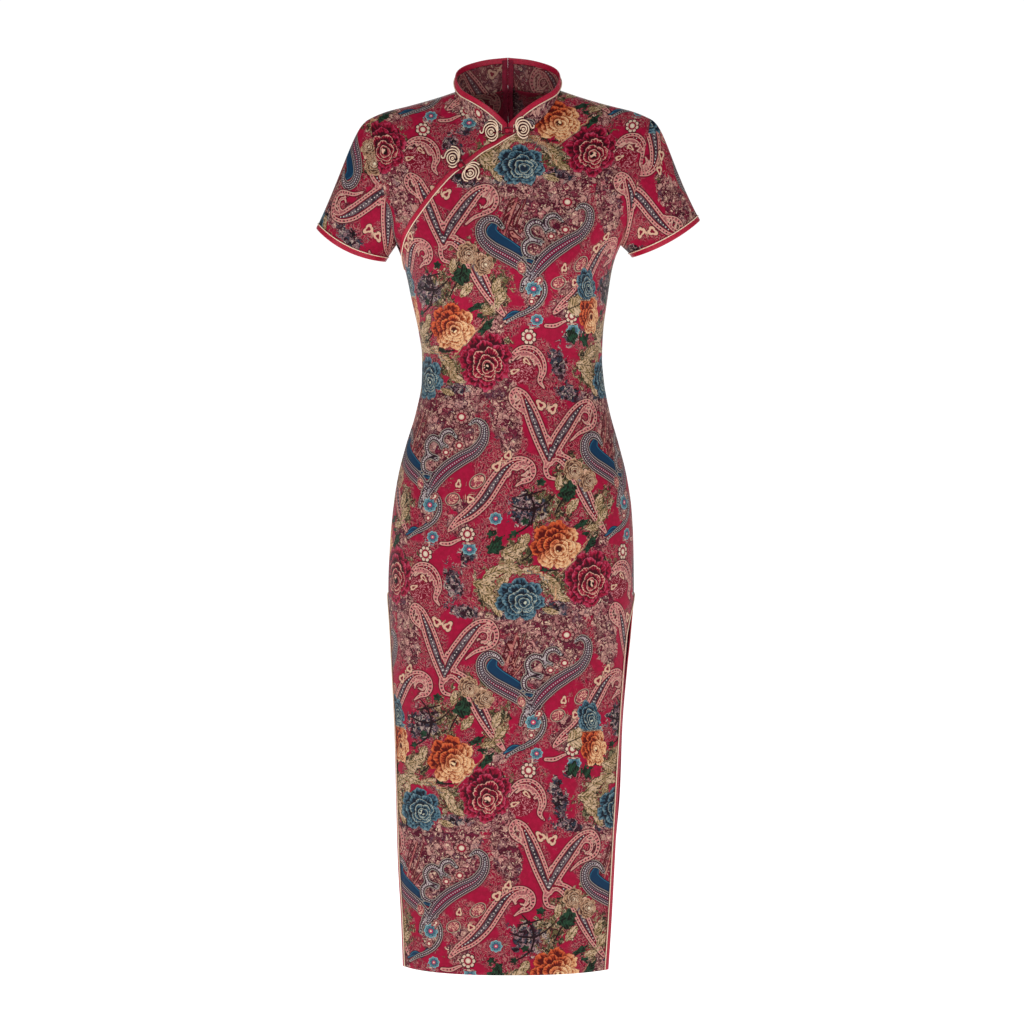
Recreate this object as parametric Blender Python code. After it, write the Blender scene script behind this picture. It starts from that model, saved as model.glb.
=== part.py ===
"""A midi cheongsam, size S, filled out as when worn: a hollow shell of printed satin panels with a stand
collar, a slanted front opening, bound edges, flower frog buttons and a zip down the centre back.

Sizes are in millimetres. Heights are above the front hem, and the world's origin is the middle of the neck
at the height where the shoulder seams meet the collar. The wearer's right is -X and the front faces -Y.
"""

import math

import bmesh
import bpy
import numpy as np

MM = 0.001
NECK_HEIGHT = 1210.0  # the shoulder seam at the side of the neck, which is z = 0

# Cloth and trimmings
CLOTH = 1.5  # thickness of a satin wall
SEAM_GAP = 0.4  # between two pieces that are sewn together
LAP_GAP = 0.45  # between a set-in piece and the edge that it is sewn to
BIND_WIDTH = 7.5  # visible width of the bias binding
CLOTH_EDGE = 7.85  # from a bound edge to the panel's own cloth
BIND_THICK = 2.2
PIPING_RADIUS = 0.7
TUCK = 3.3  # how far the underlap lies behind the front where it passes beneath it
UNDERLAP_NECK_TURN = 8.0  # where the underlap ends, past the centre front, in degrees round the neck
UNDERLAP_STEPS = (0.0, 0.16, 0.35, 0.55, 0.75, 0.92, 1.0)
OVERLAP = 14.0  # width of the underlap that the front covers

# Body
POWER = 2.25  # squareness of the body's rings: 2 is an ellipse
SLIT_TOP = 524.0
UNDERARM = 1000.0
YOKE = 940.0  # the ring where the level rows end and the rows that follow the armholes begin
CREST_DROP = 130.0  # the shoulder rounds over, from the seam down to full depth, in this height
BUST_HEIGHT, BUST_ACROSS = 965.0, 82.0
BUST_OUT, BUST_SPREAD = 15.0, 62.0

# Half widths to the finished edge at each side, and depths in front of and behind the side seams.
BODY_COLUMNS = ("height", "front_left", "front_right", "back_left", "back_right", "front", "back")
BODY_ROWS = (
    (0.0, 149.7, 137.0, 152.0, 140.0, 88.0, 90.0),
    (64.0, 152.0, 141.0, 154.6, 142.0, 88.0, 91.0),
    (152.0, 156.5, 145.5, 156.0, 147.7, 90.0, 93.0),
    (240.0, 158.5, 149.7, 157.0, 154.6, 93.0, 96.0),
    (328.0, 160.5, 154.0, 159.0, 157.3, 97.0, 100.0),
    (417.0, 164.5, 159.0, 163.0, 164.2, 101.0, 107.0),
    (461.0, 166.3, 162.5, 165.5, 168.4, 103.0, 111.0),
    (524.0, 169.0, 172.0, 169.0, 172.0, 104.0, 116.0),
    (593.0, 166.0, 171.0, 166.0, 171.0, 105.0, 119.0),
    (637.0, 161.8, 168.4, 161.8, 168.4, 104.0, 118.0),
    (682.0, 154.8, 161.5, 154.8, 161.5, 102.0, 114.0),
    (726.0, 143.5, 150.5, 143.5, 150.5, 100.0, 107.0),
    (770.0, 130.0, 138.0, 130.0, 138.0, 97.0, 99.0),
    (814.0, 121.8, 129.7, 121.8, 129.7, 93.0, 91.0),
    (847.0, 121.2, 127.0, 121.2, 127.0, 92.0, 88.0),
    (880.0, 125.5, 128.3, 125.5, 128.3, 95.0, 89.0),
    (925.0, 135.2, 133.9, 135.2, 133.9, 103.0, 95.0),
    (969.0, 144.9, 140.8, 144.9, 140.8, 111.0, 101.0),
    (1000.0, 156.0, 152.0, 156.0, 152.0, 113.0, 104.0),
    (1025.0, 173.0, 171.0, 173.0, 171.0, 109.0, 105.0),
    (1050.0, 187.0, 186.0, 187.0, 186.0, 104.0, 106.0),
    (1075.0, 197.0, 197.0, 197.0, 197.0, 97.0, 106.0),
    (1100.0, 203.0, 203.0, 203.0, 203.0, 89.0, 106.0),
    (1150.0, 205.0, 205.0, 205.0, 205.0, 71.5, 105.0),
    (1190.0, 205.0, 205.0, 205.0, 205.0, 60.0, 108.0),
    (1218.0, 205.0, 205.0, 205.0, 205.0, 54.0, 118.0),
    (1240.0, 205.0, 205.0, 205.0, 205.0, 50.0, 122.0),
)

# How far each panel still wraps round to the side at the hem, where 1 would reach the side seam's line.
HEM_WRAP = {"front_left": 0.80, "front_right": 0.62, "back_left": 0.78, "back_right": 0.88}
SLIT_BIND_RUN = 30.0  # height in which the slit's binding reaches its full width

SHOULDER_COLUMNS = ("across", "height")
SHOULDER_ROWS = (
    (0.0, 1234.0),
    (72.0, 1210.0),
    (100.0, 1200.7),
    (138.0, 1190.0),
    (166.0, 1183.0),
    (180.0, 1178.0),
    (192.0, 1172.5),
)
SHOULDER_TIP = 192.0

ARMHOLE_COLUMNS = ("height", "left", "right")
ARMHOLE_ROWS = (
    (1000.0, 156.0, 152.0),
    (1010.0, 158.0, 155.0),
    (1025.0, 160.5, 158.5),
    (1050.0, 165.5, 164.5),
    (1075.0, 171.5, 171.0),
    (1100.0, 177.5, 177.5),
    (1125.0, 183.0, 183.0),
    (1150.0, 188.0, 188.0),
    (1172.5, 192.0, 192.0),
)

# Neck and collar: an oval seam, and a finished top edge that falls to a V at the front
NECK_X = -3.0
NECK_HALF_WIDTH, NECK_FRONT, NECK_BACK = 72.0, 66.0, 57.0
COLLAR_HALF_WIDTH, COLLAR_FRONT, COLLAR_BACK = 71.5, 62.0, 55.0
COLLAR_COLUMNS = ("turn", "top")  # degrees from the centre front, height of the finished edge
COLLAR_ROWS = (
    (0.0, 1163.0),
    (8.0, 1173.0),
    (15.0, 1181.0),
    (25.0, 1190.0),
    (35.0, 1197.0),
    (45.0, 1202.5),
    (60.0, 1210.0),
    (75.0, 1220.0),
    (90.0, 1231.0),
    (110.0, 1241.0),
    (135.0, 1250.0),
    (160.0, 1256.5),
    (180.0, 1259.0),
)
# Stations round one half of the neck, from the centre front or back to the shoulder seam
NECK_TURNS = (12.0, 25.0, 40.0, 57.0, 74.0, 90.0)
NECK_EDGE_TURN = 0.2
COLLAR_BULGE = 1.2

# The slanted opening: across and height of its finished edge, from the neck to the side seam
OPENING_COLUMNS = ("across", "height")
OPENING_ROWS = (
    (-4.0, 1150.0),
    (-24.0, 1138.5),
    (-41.0, 1129.0),
    (-59.0, 1115.0),
    (-77.0, 1103.0),
    (-97.0, 1083.0),
    (-124.0, 1049.0),
    (-141.0, 1024.0),
    (-148.0, 1007.0),
)
OPENING_END = 973.0  # where the edge runs out on the side seam
OPENING_NECK_TURN = 12.0  # where along the neck seam the front's own cloth begins, in degrees

# Sleeves: the finished hem's outer and inner ends as seen from the front, its half depth and its dip
SLEEVE_COLUMNS = ("side", "outer_x", "outer_height", "inner_x", "inner_height", "dip")
SLEEVE_ROWS = (
    ("right", -266.0, 1023.0, -171.0, 977.0, 9.0),
    ("left", 261.0, 1034.0, 168.0, 983.0, 5.0),
)
SLEEVE_HALF_DEPTH = 43.0

# Zip
ZIP_BOTTOM = 680.0
ZIP_GAP = 0.5  # between the two edges of the centre back
TAPE_START, TAPE_END = 0.5, 8.0  # across from the centre back
TAPE_THICK = 1.0
TAPE_BEHIND = 0.7  # between the cloth's inner face and the tape
NAPE_HEIGHT, NAPE_SPREAD, NAPE_BEHIND = 1210.0, 22.0, 1.9  # where the tape stands off more
TAPE_COLLAR_LEVELS = (0.12, 0.4, 0.65, 0.84)
CENTRE_BACK_TURN = 179.8
SLIDER_HEIGHT = 1241.0
SLIDER_WIDTH, SLIDER_DEEP, SLIDER_TALL = 5.0, 3.0, 9.0
SLIDER_OFF = 0.5  # from the collar to the slider
ARCH_WIDE, ARCH_THICK, ARCH_HALF, ARCH_OUT = 1.2, 0.9, 3.4, 3.9
PULL_OUT = 1.9  # from the slider's face to the pull's bar
PULL_LENGTH, PULL_THICK = 20.0, 1.2
PULL_OUTLINE_COLUMNS = ("across", "down")
PULL_OUTLINE_ROWS = (
    (1.6, -0.7),
    (2.3, -0.1),
    (2.3, 5.6),
    (1.7, 9.0),
    (2.2, 13.0),
    (3.0, 16.5),
    (2.6, 18.6),
    (1.5, 19.8),
)
PULL_WINDOW = (1.2, 0.7, 5.2)  # half width, start and end, down from the bar's axis

# Frog buttons: each is a coiled cord with a hooked tail. The turn of the tail is anticlockwise from +X.
FROG_COLUMNS = ("name", "across", "height", "tail_turn", "hand")
FROG_ROWS = (
    ("neck_under", -27.6, 1159.0, 180.0, 1),
    ("neck_over", 18.6, 1158.0, 0.0, -1),
    ("chest_under", -80.0, 1118.0, 170.0, 1),
    ("chest_over", -48.0, 1097.0, -40.0, -1),
)
KNOT_COLUMNS = ("name", "across", "height")
KNOT_ROWS = (("neck", -4.0, 1153.7), ("chest", -66.0, 1107.0))
FROG_CORD, FROG_START, FROG_PITCH, FROG_TURNS = 1.15, 1.6, 3.2, 2.55
TAIL_RADIUS, TAIL_TURN = 2.9, 190.0
FROG_STEPS, TAIL_STEPS = 40, 7
KNOT_RADIUS, STEM_RADIUS = 3.0, 1.1
LOOP_RADIUS, LOOP_LEG = 1.0, 10.2
LOOP_FLOAT, LOOP_BOW = 0.9, 3.5  # how far it lies off the cloth, and how much more where it passes over the stem
RIDE = 0.35  # clearance of a cord over what lies below it

# Counts
OPENING_STEPS, SHOULDER_STEPS = 13, 6
ARMHOLE_STEPS = 10
SLEEVE_RINGS = 7
LEVEL_ROWS = (
    0.0, 60.0, 120.0, 180.0, 240.0, 300.0, 360.0, 415.0, 460.0, 492.0, 509.0, 519.0, SLIT_TOP,
    560.0, 600.0, 640.0, 680.0, 720.0, 760.0, 800.0, 840.0, 880.0, 910.0, YOKE,
)  # fmt: skip


class Profile:
    """A smooth curve through a table's rows that never overshoots them."""

    def __init__(self, places, values):
        self.places = np.array(places, float)
        self.values = np.array(values, float)
        step = np.diff(self.places)
        slope = np.diff(self.values) / step
        self.tangents = np.zeros(len(self.places))
        self.tangents[0], self.tangents[-1] = slope[0], slope[-1]
        for i in range(1, len(slope)):
            if slope[i - 1] * slope[i] > 0:
                before, after = 2 * step[i] + step[i - 1], step[i] + 2 * step[i - 1]
                self.tangents[i] = (before + after) / (before / slope[i - 1] + after / slope[i])

    def __call__(self, place):
        place = min(max(place, self.places[0]), self.places[-1])
        i = min(int(np.searchsorted(self.places, place, side="right")) - 1, len(self.places) - 2)
        step = self.places[i + 1] - self.places[i]
        t = (place - self.places[i]) / step
        rise = self.values[i + 1] - self.values[i]
        start, end = self.tangents[i] * step, self.tangents[i + 1] * step
        return self.values[i] + t * (start + t * ((3 * rise - 2 * start - end) + t * (start + end - 2 * rise)))


def profiles(columns, rows):
    """One Profile for each column after the first, which gives the places."""
    places = [row[0] for row in rows]
    return {name: Profile(places, [row[i + 1] for row in rows]) for i, name in enumerate(columns[1:])}


BODY = profiles(BODY_COLUMNS, BODY_ROWS)
SHOULDER = profiles(SHOULDER_COLUMNS, SHOULDER_ROWS)["height"]
ARMHOLE = profiles(ARMHOLE_COLUMNS, ARMHOLE_ROWS)
COLLAR_TOP = profiles(COLLAR_COLUMNS, COLLAR_ROWS)["top"]


def unit(vector):
    return vector / np.linalg.norm(vector)


def smoothstep(value):
    value = min(max(value, 0.0), 1.0)
    return value * value * (3 - 2 * value)


# ---------------------------------------------------------------- the body's surface


def edge_name(face, side):
    """Column of the body's table: side is -1 for the wearer's right, which the table calls left."""
    return f"{face}_{'left' if side < 0 else 'right'}"


def wrap(face, side, height):
    """The panel's last turn, from 1 at the side seam to less down the slit."""
    below = min(max((SLIT_TOP - height) / SLIT_TOP, 0.0), 1.0)
    return 1 - (1 - HEM_WRAP[edge_name(face, side)]) * math.sqrt(below)


def half_width(face, side, height):
    """The ring's half width, wide enough for the finished edge to lie where the table says."""
    reach = math.sin(math.radians(90 * wrap(face, side, height))) ** (2 / POWER)
    return BODY[edge_name(face, side)](height) / reach


def crest(across, height):
    """How full the body is below the shoulder seam: 0 on the seam and 1 from CREST_DROP down."""
    below = min(max((SHOULDER(abs(across)) - height) / CREST_DROP, 0.0), 1.0)
    return math.sqrt(1 - (1 - below) ** 2)


def bust(across, height):
    off_x = (abs(across) - BUST_ACROSS) / BUST_SPREAD
    off_z = (height - BUST_HEIGHT) / BUST_SPREAD
    return BUST_OUT * math.exp(-off_x * off_x - off_z * off_z)


def depth(face, across, height):
    """Distance of the body's surface from the plane of the side seams."""
    width = half_width(face, math.copysign(1, across), height)
    rounding = max(1 - min(abs(across) / width, 1.0) ** POWER, 0.0) ** (1 / POWER)
    swell = bust(across, height) if face == "front" else 0.0
    return (BODY[face](height) + swell) * rounding * crest(across, height)


def turn_at(face, across, height):
    """The turn, from -1 to 1, whose point lies this far across."""
    width = half_width(face, math.copysign(1, across), height)
    return math.copysign(math.asin(min(abs(across) / width, 1.0) ** (POWER / 2)) / (math.pi / 2), across)


def across_at(face, turn, height):
    reach = abs(math.sin(turn * math.pi / 2)) ** (2 / POWER)
    return math.copysign(half_width(face, math.copysign(1, turn), height) * reach, turn)


def surface(face, turn, height):
    """A point of the cloth's outer face."""
    facing = -1 if face == "front" else 1
    across = across_at(face, turn, height)
    return np.array((across, facing * (depth(face, across, height) + SEAM_GAP / 2), height))


def normal(face, turn, height):
    """The outward direction at a point of the surface."""
    facing = -1 if face == "front" else 1
    across = across_at(face, turn, height)
    side = math.copysign(1, turn)
    if abs(turn) > 0.999:
        return unit(np.array((side, facing * 0.005, -side_slope(face, side, height))))
    if SHOULDER(abs(across)) - height < 0.3:
        return unit(np.array((-side * shoulder_slope(abs(across)), facing * 0.005, 1.0)))
    limit = half_width(face, side, height) - 0.02
    x0, x1 = max(across - 0.25, -limit), min(across + 0.25, limit)
    top = SHOULDER(abs(across)) - 0.02
    z0, z1 = min(height, top) - 0.3, min(height + 0.3, top)
    slope_x = (depth(face, x1, height) - depth(face, x0, height)) / (x1 - x0)
    if x1 - x0 < 0.1:
        slope_x = 0.0
    slope_z = (depth(face, across, z1) - depth(face, across, z0)) / (z1 - z0)
    return unit(np.array((-slope_x, facing, -slope_z)))


def side_slope(face, side, height):
    return (half_width(face, side, height + 1) - half_width(face, side, height - 1)) / 2


def shoulder_slope(across):
    return (SHOULDER(across + 1) - SHOULDER(across - 1)) / 2


def skin(face, places, offset=0.0):
    """Points of the surface at each (turn, height), moved out along the normal."""
    return np.array([surface(face, *place) + offset * normal(face, *place) for place in places])


def evenly(face, places, count):
    """The same path over the surface as count + 1 places at even distances."""
    points = skin(face, places)
    along = np.concatenate([[0], np.cumsum(np.linalg.norm(np.diff(points, axis=0), axis=1))])
    wanted = np.linspace(0, along[-1], count + 1)
    places = np.array(places)
    return [(np.interp(w, along, places[:, 0]), np.interp(w, along, places[:, 1])) for w in wanted]


def at_steps(face, places, steps):
    """The places of a path at given fractions of its length."""
    fine = evenly(face, places, 500)
    return [fine[round(500 * step)] for step in steps]


def inset(face, places, distance):
    """The path moved sideways over the surface, to the left of its direction seen from outside."""
    moved = []
    for i, (turn, height) in enumerate(places):
        before, after = places[max(i - 1, 0)], places[min(i + 1, len(places) - 1)]
        along = surface(face, *after) - surface(face, *before)
        aside = unit(np.cross(normal(face, turn, height), along)) * distance
        step_turn = 0.01 if turn < 0.95 else -0.01
        by_turn = (surface(face, turn + step_turn, height) - surface(face, turn, height)) / step_turn
        by_height = surface(face, turn, height - 1) - surface(face, turn, height)
        solved = np.linalg.lstsq(np.stack([by_turn, -by_height], axis=1), aside, rcond=None)[0]
        moved.append((turn + solved[0], height + solved[1]))
    return moved


# ---------------------------------------------------------------- paths on the body


def neck_place(face, turn_degrees, side):
    """Where the neck seam crosses the surface, at a turn from the centre front or back."""
    angle = math.radians(turn_degrees)
    reach = NECK_FRONT if face == "front" else NECK_BACK
    across = NECK_X + side * NECK_HALF_WIDTH * math.sin(angle)
    target = reach * math.cos(angle)
    low, high = 1100.0, SHOULDER(abs(across))
    for _ in range(40):
        middle = (low + high) / 2
        if depth(face, across, middle) > target:
            low = middle
        else:
            high = middle
    return turn_at(face, across, low), low


def neckline(face, side, start):
    """From near the centre to the shoulder seam, through the stations that the collar shares."""
    return [neck_place(face, turn, side) for turn in [start] + [turn for turn in NECK_TURNS if turn > start + 2]]


def shoulder_line(face, side, count):
    """From the neck to the shoulder tip."""
    start, end = abs(NECK_X + side * NECK_HALF_WIDTH), SHOULDER_TIP
    line = []
    for i in range(count + 1):
        across = side * (start + (end - start) * i / count)
        height = SHOULDER(abs(across))
        line.append((turn_at(face, across, height), height))
    return line


def armhole_line(face, side):
    """From the underarm to the shoulder tip, closer together where the shoulder rounds over."""
    tip = SHOULDER(SHOULDER_TIP)
    line = [(float(side), UNDERARM)]
    for i in range(1, 61):
        height = UNDERARM + (tip - UNDERARM) * (i / 60) ** 2
        across = side * ARMHOLE["left" if side < 0 else "right"](height)
        line.append((turn_at(face, across, height), height))
    return at_steps(face, line, [1 - (1 - i / ARMHOLE_STEPS) ** 1.3 for i in range(ARMHOLE_STEPS + 1)])


def side_and_armhole(face, side, start):
    """The side seam from a height up to the underarm, then the armhole up to the shoulder tip."""
    return [(float(side), start), (float(side), (start + UNDERARM) / 2)] + armhole_line(face, side)


def steps_of(face, places):
    """How far along its length each place of a path is."""
    points = skin(face, places)
    along = np.concatenate([[0], np.cumsum(np.linalg.norm(np.diff(points, axis=0), axis=1))])
    return along / along[-1]


def opening_edge():
    """The finished edge of the slanted opening, from the neck to the side seam."""
    rows = [(turn_at("front", across, height), height) for across, height in OPENING_ROWS]
    rows += [(-0.93, 985.0), (-1.0, OPENING_END)]
    turns, heights = np.array(rows).T
    along = np.concatenate([[0], np.cumsum(np.hypot(np.diff(turns) * 200, np.diff(heights)))])
    by_turn, by_height = Profile(along, turns), Profile(along, heights)
    places = [(by_turn(d), by_height(d)) for d in np.linspace(0, along[-1], 80)]
    return evenly("front", places, OPENING_STEPS)


def opening_inner(distance):
    """The line on the front that lies this far inside the opening's finished edge."""
    line = inset("front", opening_edge(), distance)
    start = neck_place("front", OPENING_NECK_TURN * distance / CLOTH_EDGE, 1)
    line[0] = start
    line[1] = ((line[1][0] + line[2][0] + start[0]) / 3, (line[1][1] + line[2][1] + start[1]) / 3)
    end_turn, end_height = line[-1]
    line[-1] = (-1.0, end_height - 1.5 * distance * max(end_turn + 1, 0))
    return [(max(turn, -1.0), height) for turn, height in line]


def slit_inner(face, side, height, distance):
    """Turn of the line that lies inside a panel's finished side edge, by up to this distance."""
    last = wrap(face, side, height)
    here = surface(face, side * last, height)
    near = surface(face, side * (last - 0.02), height)
    width = distance * smoothstep((SLIT_TOP - height) / SLIT_BIND_RUN)
    return side * (last - 0.02 * width / np.linalg.norm(near - here))


# ---------------------------------------------------------------- panels


def level_rows(face, left_edge, right_edge, fractions):
    """Rows of places round the body at level heights, spread by the same fractions of each row's length."""
    rows = []
    for height in LEVEL_ROWS:
        turns = np.linspace(left_edge(height), right_edge(height), 121)
        points = skin(face, [(turn, height) for turn in turns])
        along = np.concatenate([[0], np.cumsum(np.linalg.norm(np.diff(points, axis=0), axis=1))])
        rows.append([(np.interp(f * along[-1], along, turns), height) for f in fractions])
    return rows


def fill(bottom, top, left, right, steps):
    """Rows of places between four edges, each blended from all of them; the first and last rows are given."""
    bottom, top, left, right = (np.array(edge) for edge in (bottom, top, left, right))
    span = bottom[-1, 0] - bottom[0, 0]
    weight = ((bottom[:, 0] - bottom[0, 0]) / span)[:, None]
    rows = []
    for k, step in enumerate(steps):
        between = (1 - step) * bottom + step * top
        sides = (1 - weight) * left[k] + weight * right[k]
        corners = (1 - step) * ((1 - weight) * bottom[0] + weight * bottom[-1])
        corners = corners + step * ((1 - weight) * top[0] + weight * top[-1])
        rows.append([tuple(place) for place in between + sides - corners])
    return rows


def front_places():
    top = opening_inner(CLOTH_EDGE)[::-1]
    top = top + neckline("front", 1, OPENING_NECK_TURN)[1:] + shoulder_line("front", 1, SHOULDER_STEPS)[1:]
    fractions = np.linspace(0, 1, len(top))
    rows = level_rows(
        "front",
        lambda height: slit_inner("front", -1, height, CLOTH_EDGE),
        lambda height: slit_inner("front", 1, height, CLOTH_EDGE),
        fractions,
    )
    right = side_and_armhole("front", 1, YOKE)
    steps = steps_of("front", right)
    left = [(-1.0, YOKE + (top[0][1] - YOKE) * step) for step in steps]
    return rows + fill(rows[-1], top, left, right, steps)[1:]


def centre_back(side, height):
    """Turn of the centre back's edge, which leans to the middle of the neck."""
    lean = NECK_X * min(max((height - YOKE) / (NECK_HEIGHT - YOKE), 0.0), 1.0)
    return turn_at("back", lean + side * ZIP_GAP / 2, height)


def back_places(side):
    top = neckline("back", side, NECK_EDGE_TURN) + shoulder_line("back", side, SHOULDER_STEPS)[1:]
    fractions = np.linspace(0, 1, len(top))
    rows = level_rows(
        "back",
        lambda height: centre_back(side, height),
        lambda height: slit_inner("back", side, height, CLOTH_EDGE),
        fractions,
    )
    outside = side_and_armhole("back", side, YOKE)
    steps = steps_of("back", outside)
    heights = [YOKE + (top[0][1] - YOKE) * i / 60 for i in range(61)]
    centre = at_steps("back", [(centre_back(side, height), height) for height in heights], steps)
    return rows + fill(rows[-1], top, centre, outside, steps)[1:]


def underlap_places():
    """The piece on the wearer's right that fills the shoulder above the opening and runs under the front."""
    start = neck_place("front", UNDERLAP_NECK_TURN, 1)
    top = armhole_line("front", -1) + shoulder_line("front", -1, SHOULDER_STEPS)[::-1][1:]
    top = top + neckline("front", -1, NECK_EDGE_TURN)[::-1][1:] + [start]
    low = evenly("front", inset("front", opening_edge(), OVERLAP), len(top) - 1)[::-1]
    low = [(max(turn, -1.0), height) for turn, height in low]
    low[0] = (-1.0, low[0][1] - 4.0)
    low[-1] = (start[0], start[1] - OVERLAP)
    left = [(-1.0, low[0][1] + (UNDERARM - low[0][1]) * step) for step in UNDERLAP_STEPS]
    right = [(start[0], start[1] - OVERLAP * (1 - step)) for step in UNDERLAP_STEPS]
    return fill(low, top, left, right, UNDERLAP_STEPS)


# ---------------------------------------------------------------- making objects


def material(name, colour, roughness, metallic=0.0):
    made = bpy.data.materials.new(name)
    made.use_nodes = True
    shader = made.node_tree.nodes["Principled BSDF"]
    shader.inputs["Base Color"].default_value = (*colour, 1)
    shader.inputs["Roughness"].default_value = roughness
    shader.inputs["Metallic"].default_value = metallic
    return made


def placed(point):
    return point[0] * MM, point[1] * MM, (point[2] - NECK_HEIGHT) * MM


def finish(name, data, stuff):
    made = bpy.data.objects.new(name, data)
    data.materials.append(stuff)
    bpy.context.scene.collection.objects.link(made)
    return made


def wall(name, stuff, outer, inner, closed=False):
    """One closed piece of cloth: a grid of outer points, extruded as one region onto the inner points."""
    rows, columns = outer.shape[:2]
    bm = bmesh.new()
    bmesh.ops.create_grid(bm, x_segments=columns - 1, y_segments=rows - 1, size=1.0)
    order = bm.verts.layers.int.new("order")
    for index, (vert, point) in enumerate(zip(bm.verts, outer.reshape(-1, 3))):
        vert.co = placed(point)
        vert[order] = index
    if closed:
        bmesh.ops.remove_doubles(bm, verts=bm.verts[:], dist=1e-7)
    behind = inner.reshape(-1, 3)
    copies = bmesh.ops.extrude_face_region(bm, geom=bm.faces[:], use_keep_orig=True)
    for item in copies["geom"]:
        if isinstance(item, bmesh.types.BMVert):
            item.co = placed(behind[item[order]])
    bmesh.ops.recalc_face_normals(bm, faces=bm.faces[:])
    mesh = bpy.data.meshes.new(name)
    bm.to_mesh(mesh)
    bm.free()
    mesh.shade_smooth()
    mesh.set_sharp_from_angle(angle=math.radians(50))
    return finish(name, mesh, stuff)


def cord(name, stuff, points, radius, closed=False, resolution=0):
    """A round cord along its points."""
    curve = bpy.data.curves.new(name, "CURVE")
    curve.dimensions = "3D"
    curve.bevel_depth = radius * MM
    curve.bevel_resolution = resolution
    curve.use_fill_caps = True
    spline = curve.splines.new("POLY")
    spline.points.add(len(points) - 1)
    for target, point in zip(spline.points, points):
        target.co = (*placed(point), 1)
    spline.use_cyclic_u = closed
    return finish(name, curve, stuff)


def panel(name, stuff, face, rows, recess=None):
    """A wall of the body's cloth through rows of places, set back where recess says."""
    outer, inner = [], []
    for r, row in enumerate(rows):
        back = [0.0] * len(row) if recess is None else recess[r]
        outer.append([surface(face, *p) - b * normal(face, *p) for p, b in zip(row, back)])
        inner.append([surface(face, *p) - (b + CLOTH) * normal(face, *p) for p, b in zip(row, back)])
    return wall(name, stuff, np.array(outer), np.array(inner))


def underlap(name, stuff):
    """The underlap lies behind the front where the front covers it, and comes level above the opening."""
    rows = underlap_places()
    hidden_edge = skin("front", evenly("front", rows[0], 200))
    recess = []
    for row in rows:
        from_edge = [np.linalg.norm(hidden_edge - point, axis=1).min() for point in skin("front", row)]
        recess.append([TUCK * (1 - smoothstep((d - OVERLAP - 5) / 24)) for d in from_edge])
    return panel(name, stuff, "front", rows, recess)


# The section of a bias binding, across from the cloth to the finished edge: how far and how thick
BIND_SECTION = ((0.0, 1.0), (0.82, 1.0), (1.0, 0.45))


def binding(name, stuff, inner_points, edge_points, normals, closed=False):
    """A folded strip between the cloth's edge and the finished edge, rounded at the finished edge."""
    outer, inner = [], []
    for start, end, out in zip(inner_points, edge_points, normals):
        outer.append([start + (end - start) * f + out * (BIND_THICK * t - CLOTH) / 2 for f, t in BIND_SECTION])
        inner.append([start + (end - start) * f - out * (BIND_THICK * t + CLOTH) / 2 for f, t in BIND_SECTION])
    return wall(name, stuff, np.array(outer), np.array(inner), closed)


def piping(name, stuff, points, normals, closed=False):
    """The thin cord that lies on the joint of cloth and binding."""
    lift = (BIND_THICK - CLOTH) / 2 + PIPING_RADIUS + 0.3
    return cord(name, stuff, [p + out * lift for p, out in zip(points, normals)], PIPING_RADIUS, closed)


def body_trim(names, stuffs, face, inner_places, edge_places):
    """Binding and piping along an edge of a body panel."""
    normals = [normal(face, *place) for place in inner_places]
    inner = skin(face, inner_places)
    binding(names[0], stuffs["binding"], inner, skin(face, edge_places), normals)
    piping(names[1], stuffs["piping"], inner, normals)


def slit_trim(face, side, stuffs):
    who = f"{face}_{'right' if side < 0 else 'left'}"
    heights = [height for height in LEVEL_ROWS if height < SLIT_TOP][::-1]
    inner = [(slit_inner(face, side, height, BIND_WIDTH), height) for height in heights]
    edge = [(side * wrap(face, side, height), height) for height in heights]
    body_trim((f"slit_binding_{who}", f"slit_piping_{who}"), stuffs, face, inner, edge)


# ---------------------------------------------------------------- collar


def collar_seam(side, turn_degrees):
    """The neck seam on the body, all the way round one side."""
    face = "front" if turn_degrees <= 90 else "back"
    place = neck_place(face, turn_degrees if face == "front" else 180 - turn_degrees, side)
    return surface(face, *place)


def collar_top(side, turn_degrees):
    angle = math.radians(turn_degrees)
    reach = COLLAR_FRONT if turn_degrees <= 90 else COLLAR_BACK
    across = NECK_X + side * COLLAR_HALF_WIDTH * math.sin(angle)
    return np.array((across, -reach * math.cos(angle), COLLAR_TOP(turn_degrees)))


def collar_point(side, turn_degrees, up):
    """A point of the collar's outer face: up is 0 just above the seam and 1 on the finished edge."""
    low, high = collar_seam(side, turn_degrees), collar_top(side, turn_degrees)
    low = low + LAP_GAP * unit(unit(high - low) + np.array((0, 0, 0.6)))
    out = unit(np.array((math.sin(math.radians(turn_degrees)) * side, -math.cos(math.radians(turn_degrees)), 0)))
    return low + (high - low) * up + out * COLLAR_BULGE * 4 * up * (1 - up)


def collar_normal(side, turn_degrees, up):
    t0, t1 = max(turn_degrees - 1, 0.3), min(turn_degrees + 1, 179.9)
    u0, u1 = max(up - 0.05, 0.0), min(up + 0.05, 1.0)
    along = collar_point(side, t1, up) - collar_point(side, t0, up)
    rise = collar_point(side, turn_degrees, u1) - collar_point(side, turn_degrees, u0)
    return unit(np.cross(along, rise)) * side


def collar_inset(side, turn_degrees, distance):
    """How far up the collar a line runs that keeps this distance below the finished edge."""
    t0, t1 = max(turn_degrees - 1.5, 0.0), min(turn_degrees + 1.5, 180.0)
    ahead = collar_top(side, t1) - collar_top(side, t0)
    drop = distance * math.hypot(1, ahead[2] / math.hypot(ahead[0], ahead[1]))
    tall = np.linalg.norm(collar_top(side, turn_degrees) - collar_seam(side, turn_degrees))
    return max(1 - drop / tall, 0.05)


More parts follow.
